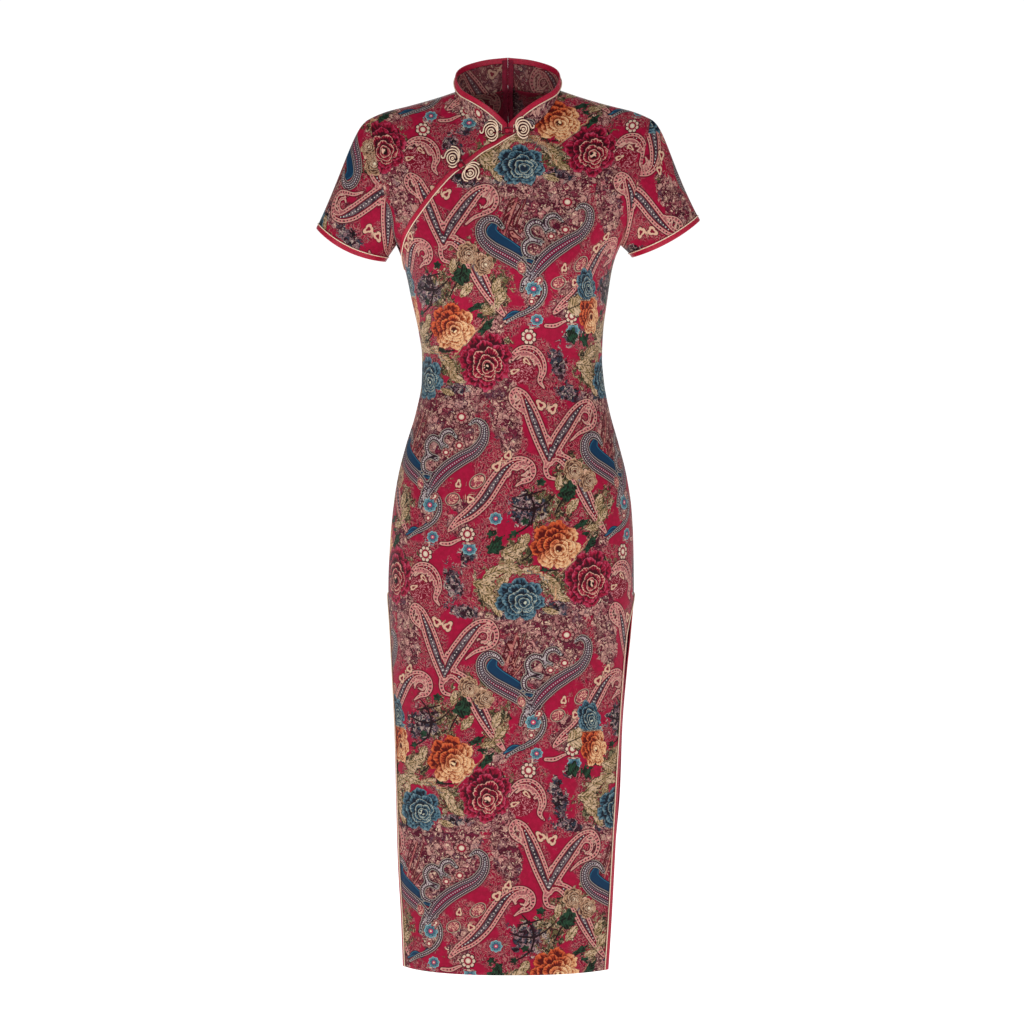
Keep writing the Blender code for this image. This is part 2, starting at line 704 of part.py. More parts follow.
def collar_turns():
    """Stations from the front to the centre back, the same as the panels have along the neck."""
    return list(NECK_TURNS) + [180 - turn for turn in NECK_TURNS[-2::-1]] + [180 - NECK_EDGE_TURN]


def corner_turn(distance):
    """Turn of the line this far from the collar's centre front edge."""
    return math.degrees(math.asin((distance + 0.6) / COLLAR_HALF_WIDTH))


def collar(name, stuff, side):
    turns = [corner_turn(CLOTH_EDGE)] + collar_turns()
    outer, inner = [], []
    for level in np.linspace(0, 1, 5):
        ups = [level * collar_inset(side, turn, CLOTH_EDGE) for turn in turns]
        points = [collar_point(side, turn, up) for turn, up in zip(turns, ups)]
        normals = [collar_normal(side, turn, up) for turn, up in zip(turns, ups)]
        outer.append(points)
        inner.append([p - CLOTH * n for p, n in zip(points, normals)])
    return wall(name, stuff, np.array(outer), np.array(inner))


def collar_trim(side, stuffs):
    who = "right" if side < 0 else "left"
    corner = corner_turn(BIND_WIDTH)
    edge = [(0.5, 0.0), (0.5, 1.0)]
    inside = [(corner, 0.0), (corner, collar_inset(side, corner, BIND_WIDTH))]
    for near in collar_turns():
        slant = min(max((75 - near) / 75, 0.0), 1.0) * 4.6
        edge.append((near - slant, 1.0))
        inside.append((near, collar_inset(side, near, BIND_WIDTH)))
    normals = [collar_normal(side, *place) for place in inside]
    inner = [collar_point(side, *place) for place in inside]
    outer = [collar_point(side, *place) for place in edge]
    binding(f"collar_binding_{who}", stuffs["binding"], inner, outer, normals)
    piping(f"collar_piping_{who}", stuffs["piping"], inner[1:], normals[1:])


# ---------------------------------------------------------------- sleeves


def sleeve_sizes(side):
    rows = {row[0]: dict(zip(SLEEVE_COLUMNS, row)) for row in SLEEVE_ROWS}
    return rows["right" if side < 0 else "left"]


def armhole_loop(side):
    """Points of the whole armhole and the directions that lead off the panels there."""
    front = armhole_line("front", side)
    back = armhole_line("back", side)[::-1]
    stations = [("front", place) for place in front] + [("back", place) for place in back[1:]]
    points = np.array([surface(face, *place) for face, place in stations])
    normals = np.array([normal(face, *place) for face, place in stations])
    middle = points.mean(axis=0)
    away = []
    for i, point in enumerate(points):
        before, after = points[i - 1] if i else points[-2], points[(i + 1) % len(points)]
        if i == len(points) - 1:
            after = points[1]
        direction = unit(np.cross(after - before, normals[i]))
        away.append(direction if direction @ (middle - point) > 0 else -direction)
    points[-1], away[-1] = points[0], away[0]
    return points, np.array(away)


def hem_point(sizes, turn):
    """The sleeve's finished hem: turn 0 at the underarm, a quarter at the front and a half on top."""
    outer = np.array((sizes["outer_x"], 0.0, sizes["outer_height"]))
    inner = np.array((sizes["inner_x"], 0.0, sizes["inner_height"]))
    middle, reach = (outer + inner) / 2, (outer - inner) / 2
    up = unit(np.array((-reach[2], 0.0, reach[0])) * math.copysign(1, reach[0]))
    angle = 2 * math.pi * turn
    dip = sizes["dip"] * math.sin(angle) ** 2
    depth_part = np.array((0.0, SLEEVE_HALF_DEPTH * math.sin(angle), 0.0))
    return middle - reach * math.cos(angle) - depth_part - up * dip, up


def sleeve_curves(side):
    """For each point round the armhole, the four control points of the curve down to the hem."""
    sizes = sleeve_sizes(side)
    points, away = armhole_loop(side)
    curves = []
    for i, (start, leave) in enumerate(zip(points, away)):
        turn = i / (len(points) - 1)
        end, up = hem_point(sizes, turn)
        span = np.linalg.norm(end - start)
        low = (1 + math.cos(2 * math.pi * turn)) / 2
        leave = unit((1 - low) * leave + low * unit(end - start))
        start = start + LAP_GAP * unit(away[i] + leave)
        curves.append((start, start + leave * span * (0.135 + 0.165 * low), end + up * span * (0.545 - 0.2 * low), end))
    return curves


def on_curve(curve, t):
    a, b, c, d = curve
    return (1 - t) ** 3 * a + 3 * t * (1 - t) ** 2 * b + 3 * t * t * (1 - t) * c + t**3 * d


def sleeve_ring(curves, distance_from_hem, share):
    """One ring of points, at a share of the way from the armhole to a line above the hem."""
    ring = []
    for curve in curves:
        speed = 3 * np.linalg.norm(curve[3] - curve[2])
        last = 1 - distance_from_hem / speed
        ring.append(on_curve(curve, last * share))
    return np.array(ring)


def ring_normals(ring, following):
    """Outward directions on a ring, from its own run and the way to the ring that follows."""
    middle = ring[:-1].mean(axis=0)
    found = []
    for i, point in enumerate(ring):
        before = ring[i - 1] if i else ring[-2]
        after = ring[i + 1] if i + 1 < len(ring) else ring[1]
        direction = unit(np.cross(after - before, following[i] - point))
        found.append(direction if direction @ (point - middle) > 0 else -direction)
    found[-1] = found[0]
    return np.array(found)


def sleeve(side, stuffs):
    who = "right" if side < 0 else "left"
    curves = sleeve_curves(side)
    shares = [i / SLEEVE_RINGS for i in range(SLEEVE_RINGS + 1)]
    rings = [sleeve_ring(curves, CLOTH_EDGE, share) for share in shares]
    ahead = [sleeve_ring(curves, CLOTH_EDGE, share + 0.02) for share in shares]
    normals = [ring_normals(ring, after) for ring, after in zip(rings, ahead)]
    outer = np.array(rings)
    wall(f"sleeve_{who}", stuffs["print"], outer, outer - CLOTH * np.array(normals), closed=True)
    joint = sleeve_ring(curves, BIND_WIDTH, 1.0)
    edge = sleeve_ring(curves, 0.0, 1.0)
    out = ring_normals(joint, edge)
    binding(f"sleeve_binding_{who}", stuffs["binding"], joint, edge, out, closed=True)
    piping(f"sleeve_piping_{who}", stuffs["piping"], joint[:-1], out[:-1], closed=True)


# ---------------------------------------------------------------- frog buttons


def forward(across, height):
    """How far in front of the side seams' plane the garment's outer face is, on the body or on the collar."""
    body = depth("front", across, height) + SEAM_GAP / 2
    side = 1 if across > NECK_X else -1
    turn = math.degrees(math.asin(min(abs(across - NECK_X) / NECK_HALF_WIDTH, 1.0)))
    low, high = collar_seam(side, turn), collar_top(side, turn)
    if height < low[2]:
        return body
    up = min((height - low[2]) / (high[2] - low[2]), 1.0)
    return max(body, -collar_point(side, turn, up)[1])


def cord_on_front(places, radius, pipings, float_out=0.0):
    """A cord's centre line over the front: it clears the cloth and bindings, and rides over any piping."""
    points = []
    near = radius + 0.8
    for across, height in places:
        around = ((0, 0), (near, 0), (-near, 0), (0, near), (0, -near))
        base = max(forward(across + dx, height + dz) for dx, dz in around)
        lift = (BIND_THICK - CLOTH) / 2 + RIDE + radius + float_out
        point = np.array((across, -base - lift, height))
        away = np.linalg.norm((pipings - point)[:, [0, 2]], axis=1).min()
        over = smoothstep(1 - (away - radius - PIPING_RADIUS) / 3.5)
        point[1] -= over * max(2 * PIPING_RADIUS + 0.3 - float_out, 0.0)
        points.append(point)
    return points


def frog_places(across, height, tail_turn, hand):
    """The coil from its middle outwards, then the tail that turns the other way."""
    places = []
    last = math.radians(tail_turn)
    for i in range(FROG_STEPS + 1):
        turned = FROG_TURNS * i / FROG_STEPS
        angle = last - hand * 2 * math.pi * (FROG_TURNS - turned)
        reach = FROG_START + FROG_PITCH * turned
        places.append((across + reach * math.cos(angle), height + reach * math.sin(angle)))
    reach = FROG_START + FROG_PITCH * FROG_TURNS + TAIL_RADIUS
    middle = across + reach * math.cos(last), height + reach * math.sin(last)
    for i in range(1, TAIL_STEPS + 1):
        angle = last + math.pi - hand * math.radians(TAIL_TURN) * i / TAIL_STEPS
        places.append((middle[0] + TAIL_RADIUS * math.cos(angle), middle[1] + TAIL_RADIUS * math.sin(angle)))
    return places


def piping_points():
    """Points close together along every piping that a frog may cross."""
    opening = opening_inner(BIND_WIDTH)
    lines = [skin("front", opening)]
    for side in (-1, 1):
        turns = [corner_turn(BIND_WIDTH)] + list(NECK_TURNS)
        lines.append(np.array([collar_point(side, turn, collar_inset(side, turn, BIND_WIDTH)) for turn in turns]))
    close = []
    for line in lines:
        for a, b in zip(line[:-1], line[1:]):
            close += [a + (b - a) * i / 10 for i in range(11)]
    return np.array(close)


def towards(start, end, distance):
    """The place this far from start on the way to end, and the direction."""
    way = unit(np.array(end) - np.array(start))
    return np.array(start) + way * distance, way


def knot(name, stuff, place, frog, pipings):
    """The ball of the button and the stem that joins it to its own frog, as one cord of varying radius."""
    reach = FROG_START + FROG_PITCH * FROG_TURNS + FROG_CORD
    gap = np.linalg.norm(np.array(frog) - np.array(place))
    stations = [(-KNOT_RADIUS * math.cos(math.pi * i / 8)) for i in range(7)]
    radii = [max(math.sqrt(max(KNOT_RADIUS**2 - s * s, 0.0)), 0.5) for s in stations]
    ends = [KNOT_RADIUS + 0.4, gap - reach - 0.6]
    stations, radii = stations + ends, radii + [STEM_RADIUS] * 2
    places = [tuple(towards(place, frog, s)[0]) for s in stations]
    centre = cord_on_front([place], KNOT_RADIUS, pipings)[0]
    points = cord_on_front(places, STEM_RADIUS, pipings)
    for i, s in enumerate(stations):
        if s <= KNOT_RADIUS:
            points[i][1] = centre[1]
    made = cord(name, stuff, points, 1.0, resolution=2)
    for point, radius in zip(made.data.splines[0].points, radii):
        point.radius = radius
    return made


def loop(name, stuff, place, frog, pipings):
    """The loop that holds the ball: two legs from the other frog and a half turn round the ball."""
    start, way = towards(place, frog, 0.0)
    aside = np.array((-way[1], way[0]))
    reach = KNOT_RADIUS + LOOP_RADIUS + 1.1
    places = [start + aside * reach + way * LOOP_LEG, start + aside * reach + way * LOOP_LEG / 2]
    for i in range(9):
        angle = math.pi * i / 8
        places.append(start + aside * reach * math.cos(angle) - way * reach * math.sin(angle))
    places += [start - aside * reach + way * LOOP_LEG / 2, start - aside * reach + way * LOOP_LEG]
    points = cord_on_front([tuple(p) for p in places], LOOP_RADIUS, pipings, LOOP_FLOAT)
    for i in range(9):
        points[i + 2][1] -= LOOP_BOW * math.sin(math.pi * i / 8) ** 2
    return cord(name, stuff, points, LOOP_RADIUS, resolution=1)


def frogs(stuffs):
    pipings = piping_points()
    centres = {}
    for row in FROG_ROWS:
        frog = dict(zip(FROG_COLUMNS, row))
        centres[frog["name"]] = (frog["across"], frog["height"])
        places = frog_places(frog["across"], frog["height"], frog["tail_turn"], frog["hand"])
        cord(f"frog_{frog['name']}", stuffs["frog"], cord_on_front(places, FROG_CORD, pipings), FROG_CORD, resolution=1)
    for name, across, height in KNOT_ROWS:
        knot(f"button_knot_{name}", stuffs["binding"], (across, height), centres[f"{name}_under"], pipings)
        loop(f"button_loop_{name}", stuffs["frog"], (across, height), centres[f"{name}_over"], pipings)


# ---------------------------------------------------------------- zip


def tape_behind(height):
    """From the cloth's outer face to the tape: more inside the nape, where the cloth bends."""
    nape = math.exp(-(((height - NAPE_HEIGHT) / NAPE_SPREAD) ** 2))
    return CLOTH + TAPE_BEHIND + NAPE_BEHIND * nape


def tape(side, stuff):
    """One tape, sewn behind the edge of the back panel and of the collar."""
    heights = [row[0][1] for row in back_places(side)]
    across = np.linspace(TAPE_START, TAPE_END, 3)
    points, normals = [], []
    for height in [height for height in heights if height >= ZIP_BOTTOM]:
        lean = NECK_X * min(max((height - YOKE) / (NECK_HEIGHT - YOKE), 0.0), 1.0)
        places = [(turn_at("back", lean + side * x, height), height) for x in across]
        points.append(skin("back", places))
        normals.append([normal("back", *place) for place in places])
    turns = [180 - math.degrees(math.asin(x / NECK_HALF_WIDTH)) for x in across]
    for level in TAPE_COLLAR_LEVELS:
        points.append([collar_point(side, turn, level) for turn in turns])
        normals.append([collar_normal(side, turn, level) for turn in turns])
    points, normals = np.array(points), np.array(normals)
    behind = np.array([tape_behind(row[0, 2]) for row in points])[:, None, None]
    outer, inner = points - behind * normals, points - (behind + TAPE_THICK) * normals
    wall(f"zip_tape_{'right' if side < 0 else 'left'}", stuff, outer, inner)


def slider_face():
    """Where the slider stands: the collar's outer face at the centre back."""
    low, high = collar_seam(1, CENTRE_BACK_TURN), collar_top(1, CENTRE_BACK_TURN)
    up = (SLIDER_HEIGHT - low[2]) / (high[2] - low[2])
    return collar_point(1, CENTRE_BACK_TURN, up)[1] + SLIDER_OFF


def block(name, size, middle, narrow, bevel):
    """A bevelled box, narrower at its foot."""
    bm = bmesh.new()
    bmesh.ops.create_cube(bm, size=1.0)
    for vert in bm.verts:
        x, y, z = vert.co
        width = size[0] * (narrow if z < 0 else 1.0)
        vert.co = placed((middle[0] + x * width, middle[1] + y * size[1], middle[2] + z * size[2]))
    bmesh.ops.bevel(bm, geom=bm.edges[:], offset=bevel * MM, segments=2, affect="EDGES", profile=0.5)
    mesh = bpy.data.meshes.new(name)
    bm.to_mesh(mesh)
    bm.free()
    return mesh


def slider(stuff):
    """The slider's block with the arch that holds the pull, in one piece."""
    face = slider_face()
    middle = (NECK_X, face + SLIDER_DEEP / 2, SLIDER_HEIGHT)
    body = finish("zip_slider", block("zip_slider", (SLIDER_WIDTH, SLIDER_DEEP, SLIDER_TALL), middle, 0.7, 0.5), stuff)
    outline = []
    for reach, out in ((ARCH_HALF, ARCH_OUT), (ARCH_HALF - ARCH_THICK, ARCH_OUT - ARCH_THICK)):
        arc = []
        for i in range(9):
            angle = math.pi * i / 8
            bulge = abs(math.sin(angle)) ** 0.7
            arc.append((face + SLIDER_DEEP + out * bulge, SLIDER_HEIGHT + reach * math.cos(angle)))
        arc = [(face + SLIDER_DEEP - 0.8, arc[0][1])] + arc + [(face + SLIDER_DEEP - 0.8, arc[-1][1])]
        outline.append(arc)
    outer, inner = outline
    left = [[(NECK_X - ARCH_WIDE / 2, y, z) for y, z in line] for line in (outer, inner)]
    right = [[(NECK_X + ARCH_WIDE / 2, y, z) for y, z in line] for line in (outer, inner)]
    arch = wall("zip_slider_arch", stuff, np.array(left), np.array(right))
    arch.hide_render = True
    arch.display_type = "WIRE"
    join = body.modifiers.new("arch", "BOOLEAN")
    join.operation = "UNION"
    join.solver = "EXACT"
    join.object = arch


def pull(stuff):
    """The pull: a flat tab whose bar passes under the arch. It turns about the bar."""
    curve = bpy.data.curves.new("zip_pull", "CURVE")
    curve.dimensions = "2D"
    curve.fill_mode = "BOTH"
    curve.extrude = PULL_THICK / 2 * MM
    half, start, end = PULL_WINDOW
    outline = [(x, -down) for x, down in PULL_OUTLINE_ROWS]
    outline += [(-x, y) for x, y in outline[::-1]]
    window = [(half, -start), (half, -end), (-half, -end), (-half, -start)]
    for line in (outline, window):
        spline = curve.splines.new("POLY")
        spline.points.add(len(line) - 1)
        for target, (x, y) in zip(spline.points, line):
            target.co = (x * MM, y * MM, 0, 1)
        spline.use_cyclic_u = True
    made = finish("zip_pull", curve, stuff)
    made.location = placed((NECK_X, slider_face() + SLIDER_DEEP + PULL_OUT, SLIDER_HEIGHT))
    made.rotation_euler = (math.pi / 2, 0, 0)


# ---------------------------------------------------------------- building


def clear_scene():
    for item in list(bpy.data.objects):
        bpy.data.objects.remove(item)


def make_materials():
    return {
        "print": material("printed_satin", (0.36, 0.03, 0.08), 0.45),
        "binding": material("plain_satin", (0.50, 0.02, 0.06), 0.35),
        "piping": material("cream_cord", (0.80, 0.58, 0.36), 0.5),
        "frog": material("frog_cord", (0.62, 0.35, 0.20), 0.5),
        "tape": material("zip_tape", (0.35, 0.02, 0.05), 0.7),
        "metal": material("enamelled_metal", (0.45, 0.03, 0.07), 0.3, 0.6),
    }


def main():
    clear_scene()
    stuffs = make_materials()
    panel("front", stuffs["print"], "front", front_places())
    panel("back_right", stuffs["print"], "back", back_places(-1))
    panel("back_left", stuffs["print"], "back", back_places(1))
    underlap("front_underlap", stuffs["print"])
    body_trim(("opening_binding", "opening_piping"), stuffs, "front", opening_inner(BIND_WIDTH), opening_edge())
    for side in (-1, 1):
        sleeve(side, stuffs)
        collar(f"collar_{'right' if side < 0 else 'left'}", stuffs["print"], side)
        collar_trim(side, stuffs)
        for face in ("front", "back"):
            slit_trim(face, side, stuffs)
        tape(side, stuffs["tape"])
    frogs(stuffs)
    slider(stuffs["metal"])
    pull(stuffs["metal"])


main()
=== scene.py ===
"""The looks of a midi cheongsam: printed satin panels, satin bindings with cream piping, flower frog buttons
and the centre back zip, each made finer than its solid and dressed in its own material.

Form sizes are in millimetres. Heights are above the front hem; the frame's origin is NECK_HEIGHT above it.
The wearer's right is -X and the front faces -Y.
"""

import logging
import math
from collections.abc import Callable
from dataclasses import dataclass, field
from enum import Enum
from typing import Union

import bpy
import numpy as np
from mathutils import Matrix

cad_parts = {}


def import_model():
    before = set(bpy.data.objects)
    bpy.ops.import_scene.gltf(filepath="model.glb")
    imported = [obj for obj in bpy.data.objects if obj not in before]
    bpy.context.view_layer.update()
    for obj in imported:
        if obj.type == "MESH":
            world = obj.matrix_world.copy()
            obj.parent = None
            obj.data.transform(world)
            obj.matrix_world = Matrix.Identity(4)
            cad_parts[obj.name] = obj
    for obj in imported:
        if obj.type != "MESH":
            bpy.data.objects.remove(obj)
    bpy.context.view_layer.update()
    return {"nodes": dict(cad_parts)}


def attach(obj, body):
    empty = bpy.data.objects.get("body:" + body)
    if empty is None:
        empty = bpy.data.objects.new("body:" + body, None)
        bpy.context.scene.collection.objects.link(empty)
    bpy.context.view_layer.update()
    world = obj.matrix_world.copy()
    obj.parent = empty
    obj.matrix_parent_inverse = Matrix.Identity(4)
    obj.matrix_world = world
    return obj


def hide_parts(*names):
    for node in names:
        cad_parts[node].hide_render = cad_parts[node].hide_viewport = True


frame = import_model()

LOG = logging.getLogger("cheongsam")
DRESS = "dress"

MM = 0.001
NECK_HEIGHT = 1210.0  # the shoulder seam at the side of the neck, which is z = 0

# Cloth and trimmings
CLOTH = 1.5  # the solids' wall
SATIN = 0.8  # the shown cloth, with its turned edge
SEAM_GAP = 0.1  # between two panels that are sewn together
LAP_GAP = 0.12  # between a set-in piece and the edge that it is sewn to
CENTRE_GAP = 0.12  # from the middle to each half's edge down the centre back
SEAM_SINK = 0.2  # how far the collar's edge is held in its seam
BIND_WIDTH = 7.5  # visible width of the bias binding
CLOTH_EDGE = 7.55  # from a bound edge to the panel's own cloth
BIND_THICK = 2.2
PIPING_RADIUS = 0.72
TUCK = 3.3  # how far the underlap lies behind the front
UNDERLAP_NECK_TURN = 8.0
OVERLAP = 14.0  # width of the underlap that the front covers

# Body
POWER = 2.25  # squareness of the body's rings: 2 is an ellipse
SLIT_TOP = 524.0
UNDERARM = 1000.0
YOKE = 940.0  # where the level rows end and the rows that follow the armholes begin
CREST_DROP = 130.0  # the shoulder rounds over in this height
BUST_HEIGHT, BUST_ACROSS = 965.0, 82.0
BUST_OUT, BUST_SPREAD = 15.0, 62.0

BODY_COLUMNS = ("height", "front_left", "front_right", "back_left", "back_right", "front", "back")
BODY_ROWS = (
    (0, 149.7, 137, 152, 140, 88, 90), (64, 152, 141, 154.6, 142, 88, 91), (152, 156.5, 145.5, 156, 147.7, 90, 93),
    (240, 158.5, 149.7, 157, 154.6, 93, 96), (328, 160.5, 154, 159, 157.3, 97, 100),
    (417, 164.5, 159, 163, 164.2, 101, 107), (461, 166.3, 162.5, 165.5, 168.4, 103, 111),
    (524, 169, 172, 169, 172, 104, 116), (593, 166, 171, 166, 171, 105, 119),
    (637, 161.8, 168.4, 161.8, 168.4, 104, 118), (682, 154.8, 161.5, 154.8, 161.5, 102, 114),
    (726, 143.5, 150.5, 143.5, 150.5, 100, 107), (770, 130, 138, 130, 138, 97, 99),
    (814, 121.8, 129.7, 121.8, 129.7, 93, 91), (847, 121.2, 127, 121.2, 127, 92, 88),
    (880, 125.5, 128.3, 125.5, 128.3, 95, 89), (925, 135.2, 133.9, 135.2, 133.9, 103, 95),
    (969, 144.9, 140.8, 144.9, 140.8, 111, 101), (1000, 156, 152, 156, 152, 113, 104),
    (1025, 173, 171, 173, 171, 109, 105), (1050, 187, 186, 187, 186, 104, 106), (1075, 197, 197, 197, 197, 97, 106),
    (1100, 203, 203, 203, 203, 89, 106), (1150, 205, 205, 205, 205, 71.5, 105), (1190, 205, 205, 205, 205, 60, 108),
    (1218, 205, 205, 205, 205, 54, 118), (1240, 205, 205, 205, 205, 50, 122),
)
HEM_WRAP = {"front_left": 0.80, "front_right": 0.62, "back_left": 0.78, "back_right": 0.88}
SLIT_BIND_RUN = 30.0

SHOULDER_ROWS = (
    (0, 1234), (72, 1210), (100, 1200.7), (138, 1190), (166, 1183), (180, 1178), (192, 1172.5),
)
SHOULDER_TIP = 192.0

ARMHOLE_ROWS = (
    (1000, 156, 152), (1010, 158, 155), (1025, 160.5, 158.5), (1050, 165.5, 164.5), (1075, 171.5, 171),
    (1100, 177.5, 177.5), (1125, 183, 183), (1150, 188, 188), (1172.5, 192, 192),
)

NECK_X = -3.0
NECK_HALF_WIDTH, NECK_FRONT, NECK_BACK = 72.0, 66.0, 57.0
COLLAR_HALF_WIDTH, COLLAR_FRONT, COLLAR_BACK = 71.5, 62.0, 55.0
COLLAR_ROWS = (
    (0, 1163), (8, 1173), (15, 1181), (25, 1190), (35, 1197), (45, 1202.5), (60, 1210), (75, 1220), (90, 1231),
    (110, 1241), (135, 1250), (160, 1256.5), (180, 1259),
)
COLLAR_BULGE = 1.2
COLLAR_PARTING, PARTING_TURN = 0.6, 0.5  # from the centre front to the collar's finished edge, and in degrees
NECK_EDGE_TURN = 0.2
BELOW_NECK, HALVINGS = 1100.0, 40  # where the search for the neck seam starts, and how often it halves its step

OPENING_ROWS = (
    (-4, 1150), (-24, 1138.5), (-41, 1129), (-59, 1115), (-77, 1103), (-97, 1083), (-124, 1049), (-141, 1024),
    (-148, 1007),
)
OPENING_LAST = ((-0.93, 985), (-1, 973))  # by turn and height, where it runs into the side seam
OPENING_NECK_TURN = 12.0
TURN_SPAN = 200.0  # about how far round the body one turn reaches

# Each hem: across and height of its outer end, the same of its inner end, and how far it dips between
SLEEVE_SIZES = {-1: (-266.0, 1023.0, -171.0, 977.0, 9.0), 1: (261.0, 1034.0, 168.0, 983.0, 5.0)}
SLEEVE_HALF_DEPTH = 43.0

# Soft creases: face (-1 front, 1 back), across and height of each end, how far it bows to its left, half breadth,
# and how far it rises (a trough is negative)
CREASES = (
    # from the underarms to the bust
    (-1, 147, 1006, 82, 930, 5, 7, -2.4), (-1, 128, 1006, 92, 962, 4, 8, 1.3), (-1, -143, 996, -98, 946, -4, 8, -1.7),
    (-1, -136, 960, -84, 934, -3, 7, -1),
    # drags at the waist
    (-1, 128, 912, 58, 884, 4, 8, -1.5), (-1, 124, 872, 44, 858, -5, 8, 1.3), (-1, 124, 842, 62, 812, 5, 9, -1.7),
    (-1, 130, 800, 78, 760, 6, 10, -1.3), (-1, -122, 900, -60, 878, -4, 8, -1.3),
    (-1, -118, 858, -40, 850, 5, 8, 1.2), (-1, -118, 826, -66, 794, -5, 9, -1.7),
    (-1, -126, 786, -84, 742, -5, 10, -1.2),
    # across the lap
    (-1, 150, 664, 46, 628, 8, 12, -1.5), (-1, -148, 646, -40, 622, -8, 12, -1.5),
    # long falls down the skirt
    (-1, 66, 700, 88, 40, 8, 22, 2), (-1, -34, 640, -62, 20, -6, 24, 2), (-1, 16, 590, 10, -30, 4, 18, -1.6),
    (-1, 122, 520, 108, -20, 4, 14, -1.5), (-1, -112, 560, -104, -20, -5, 16, -1.7),
    # off the shoulders
    (-1, 178, 1118, 126, 1058, 6, 9, -1.4), (-1, -178, 1112, -134, 1064, -6, 9, -1.2),
    # the back: waist, seat, falls and shoulder blades
    (1, 122, 902, 40, 880, -5, 9, -1.7), (1, 120, 866, 30, 858, 5, 8, 1.4), (1, 120, 836, 46, 812, -6, 9, -1.9),
    (1, 128, 796, 66, 762, -6, 10, -1.4), (1, -116, 894, -34, 874, 5, 9, -1.6), (1, -116, 862, -26, 846, -5, 8, 1.3),
    (1, -118, 824, -48, 800, 6, 9, -1.8), (1, -128, 786, -72, 748, 6, 10, -1.3), (1, 148, 560, 40, 532, 9, 12, -1.6),
    (1, -150, 548, -46, 522, -9, 12, -1.5), (1, 78, 560, 92, -20, 6, 22, 2), (1, -66, 540, -84, -20, -6, 22, 2.1),
    (1, 34, 480, 26, -20, 4, 16, -1.5), (1, -24, 470, -30, -20, -4, 15, -1.4), (1, 150, 1016, 86, 976, -5, 9, -1.6),
    (1, -152, 1012, -90, 968, 5, 9, -1.6), (1, 172, 1112, 104, 1070, -6, 11, -1.3),
    (1, -172, 1106, -108, 1066, 6, 11, -1.3),
)

CREASE_RISE, CREASE_FADE = 0.3, 0.4  # over what share of its length a crease comes up, and dies away
CREASE_STEP, HALF_SPAN, LOWEST, HIGHEST = 2.5, 86, -40.0, 1245.0  # the table that the creases are laid in

# How finely the shown cloth is divided
OPENING_STEPS, NECK_STEPS, SHOULDER_STEPS, ARMHOLE_STEPS = 62, 18, 28, 44
LEVEL_SPACING = 4.0
SLEEVE_RINGS, COLLAR_COLUMNS, COLLAR_LEVELS = 46, 66, 10
UNDERLAP_ROWS = 34


SIDES = ((-1, "right"), (1, "left"))  # the wearer's sides, by the sign of X


class Face(Enum):
    """A side of the body, valued by the sign of its Y."""

    FRONT = -1
    BACK = 1


def curve_at(places: np.ndarray, values: np.ndarray, slopes: np.ndarray, wanted: np.ndarray) -> np.ndarray:
    """Values of a smooth curve of cubic pieces.

    Args:
        places: increasing places along the curve.
        values, slopes: the value, or a row of values, and the slope at each.
        wanted: the places to read it at.

    Returns:
        The values.
    """
    i = np.clip(np.searchsorted(places, wanted, side="right") - 1, 0, len(places) - 2)
    step = places[i + 1] - places[i]
    t = (wanted - places[i]) / step
    if values.ndim > 1:
        step, t = step[:, None], t[:, None]
    rise, start, end = values[i + 1] - values[i], slopes[i] * step, slopes[i + 1] * step
    return values[i] + t * (start + t * ((3 * rise - 2 * start - end) + t * (start + end - 2 * rise)))


class Profile:
    """A smooth curve through a table's rows that never overshoots them."""

    def __init__(self, places: list[float], values: list[float]) -> None:
        """Works out a tangent for each row.

        Args:
            places: increasing places.
            values: the value at each place.
        """
        self.places = np.array(places, float)
        self.values = np.array(values, float)
        step = np.diff(self.places)
        slope = np.diff(self.values) / step
        self.tangents = np.zeros(len(self.places))
        self.tangents[0], self.tangents[-1] = slope[0], slope[-1]
        for i in range(1, len(slope)):
            if slope[i - 1] * slope[i] > 0:
                before, after = 2 * step[i] + step[i - 1], step[i] + 2 * step[i - 1]
                self.tangents[i] = (before + after) / (before / slope[i - 1] + after / slope[i])

    def __call__(self, place: np.ndarray) -> np.ndarray:
        """The curve's value at each place, held beyond its ends."""
        return curve_at(self.places, self.values, self.tangents, np.clip(place, self.places[0], self.places[-1]))


def column(rows: tuple, index: int) -> Profile:
    """The curve of one column of a table over its first column."""
    return Profile([row[0] for row in rows], [row[index] for row in rows])


def unit(vectors: np.ndarray) -> np.ndarray:
    """Each vector, one long."""
    return vectors / np.maximum(np.linalg.norm(vectors, axis=-1, keepdims=True), 1e-12)


def smoothstep(value: np.ndarray) -> np.ndarray:
    """0 below 0, 1 above 1 and a smooth rise between."""
    value = np.clip(value, 0.0, 1.0)
    return value * value * (3 - 2 * value)


def run_of(points: np.ndarray) -> np.ndarray:
    """How far along its line each point is, where the lines run down the array's first axis."""
    steps = np.linalg.norm(np.diff(points, axis=0), axis=-1)
    return np.concatenate([np.zeros_like(steps[:1]), np.cumsum(steps, axis=0)])


def joined(*columns: np.ndarray | float) -> np.ndarray:
    """Columns side by side, each spread to the shape of the largest."""
    return np.stack(np.broadcast_arrays(*columns), axis=-1)


def sampled(values: np.ndarray, along: np.ndarray, wanted: np.ndarray) -> np.ndarray:
    """A table's rows, read off at the wanted distances along a line."""
    return joined(*(np.interp(wanted, along, column) for column in values.T))


def world(points: np.ndarray) -> np.ndarray:
    """Millimetres over the hem, as metres in the frame."""
    return (np.asarray(points, float) - (0.0, 0.0, NECK_HEIGHT)) * MM


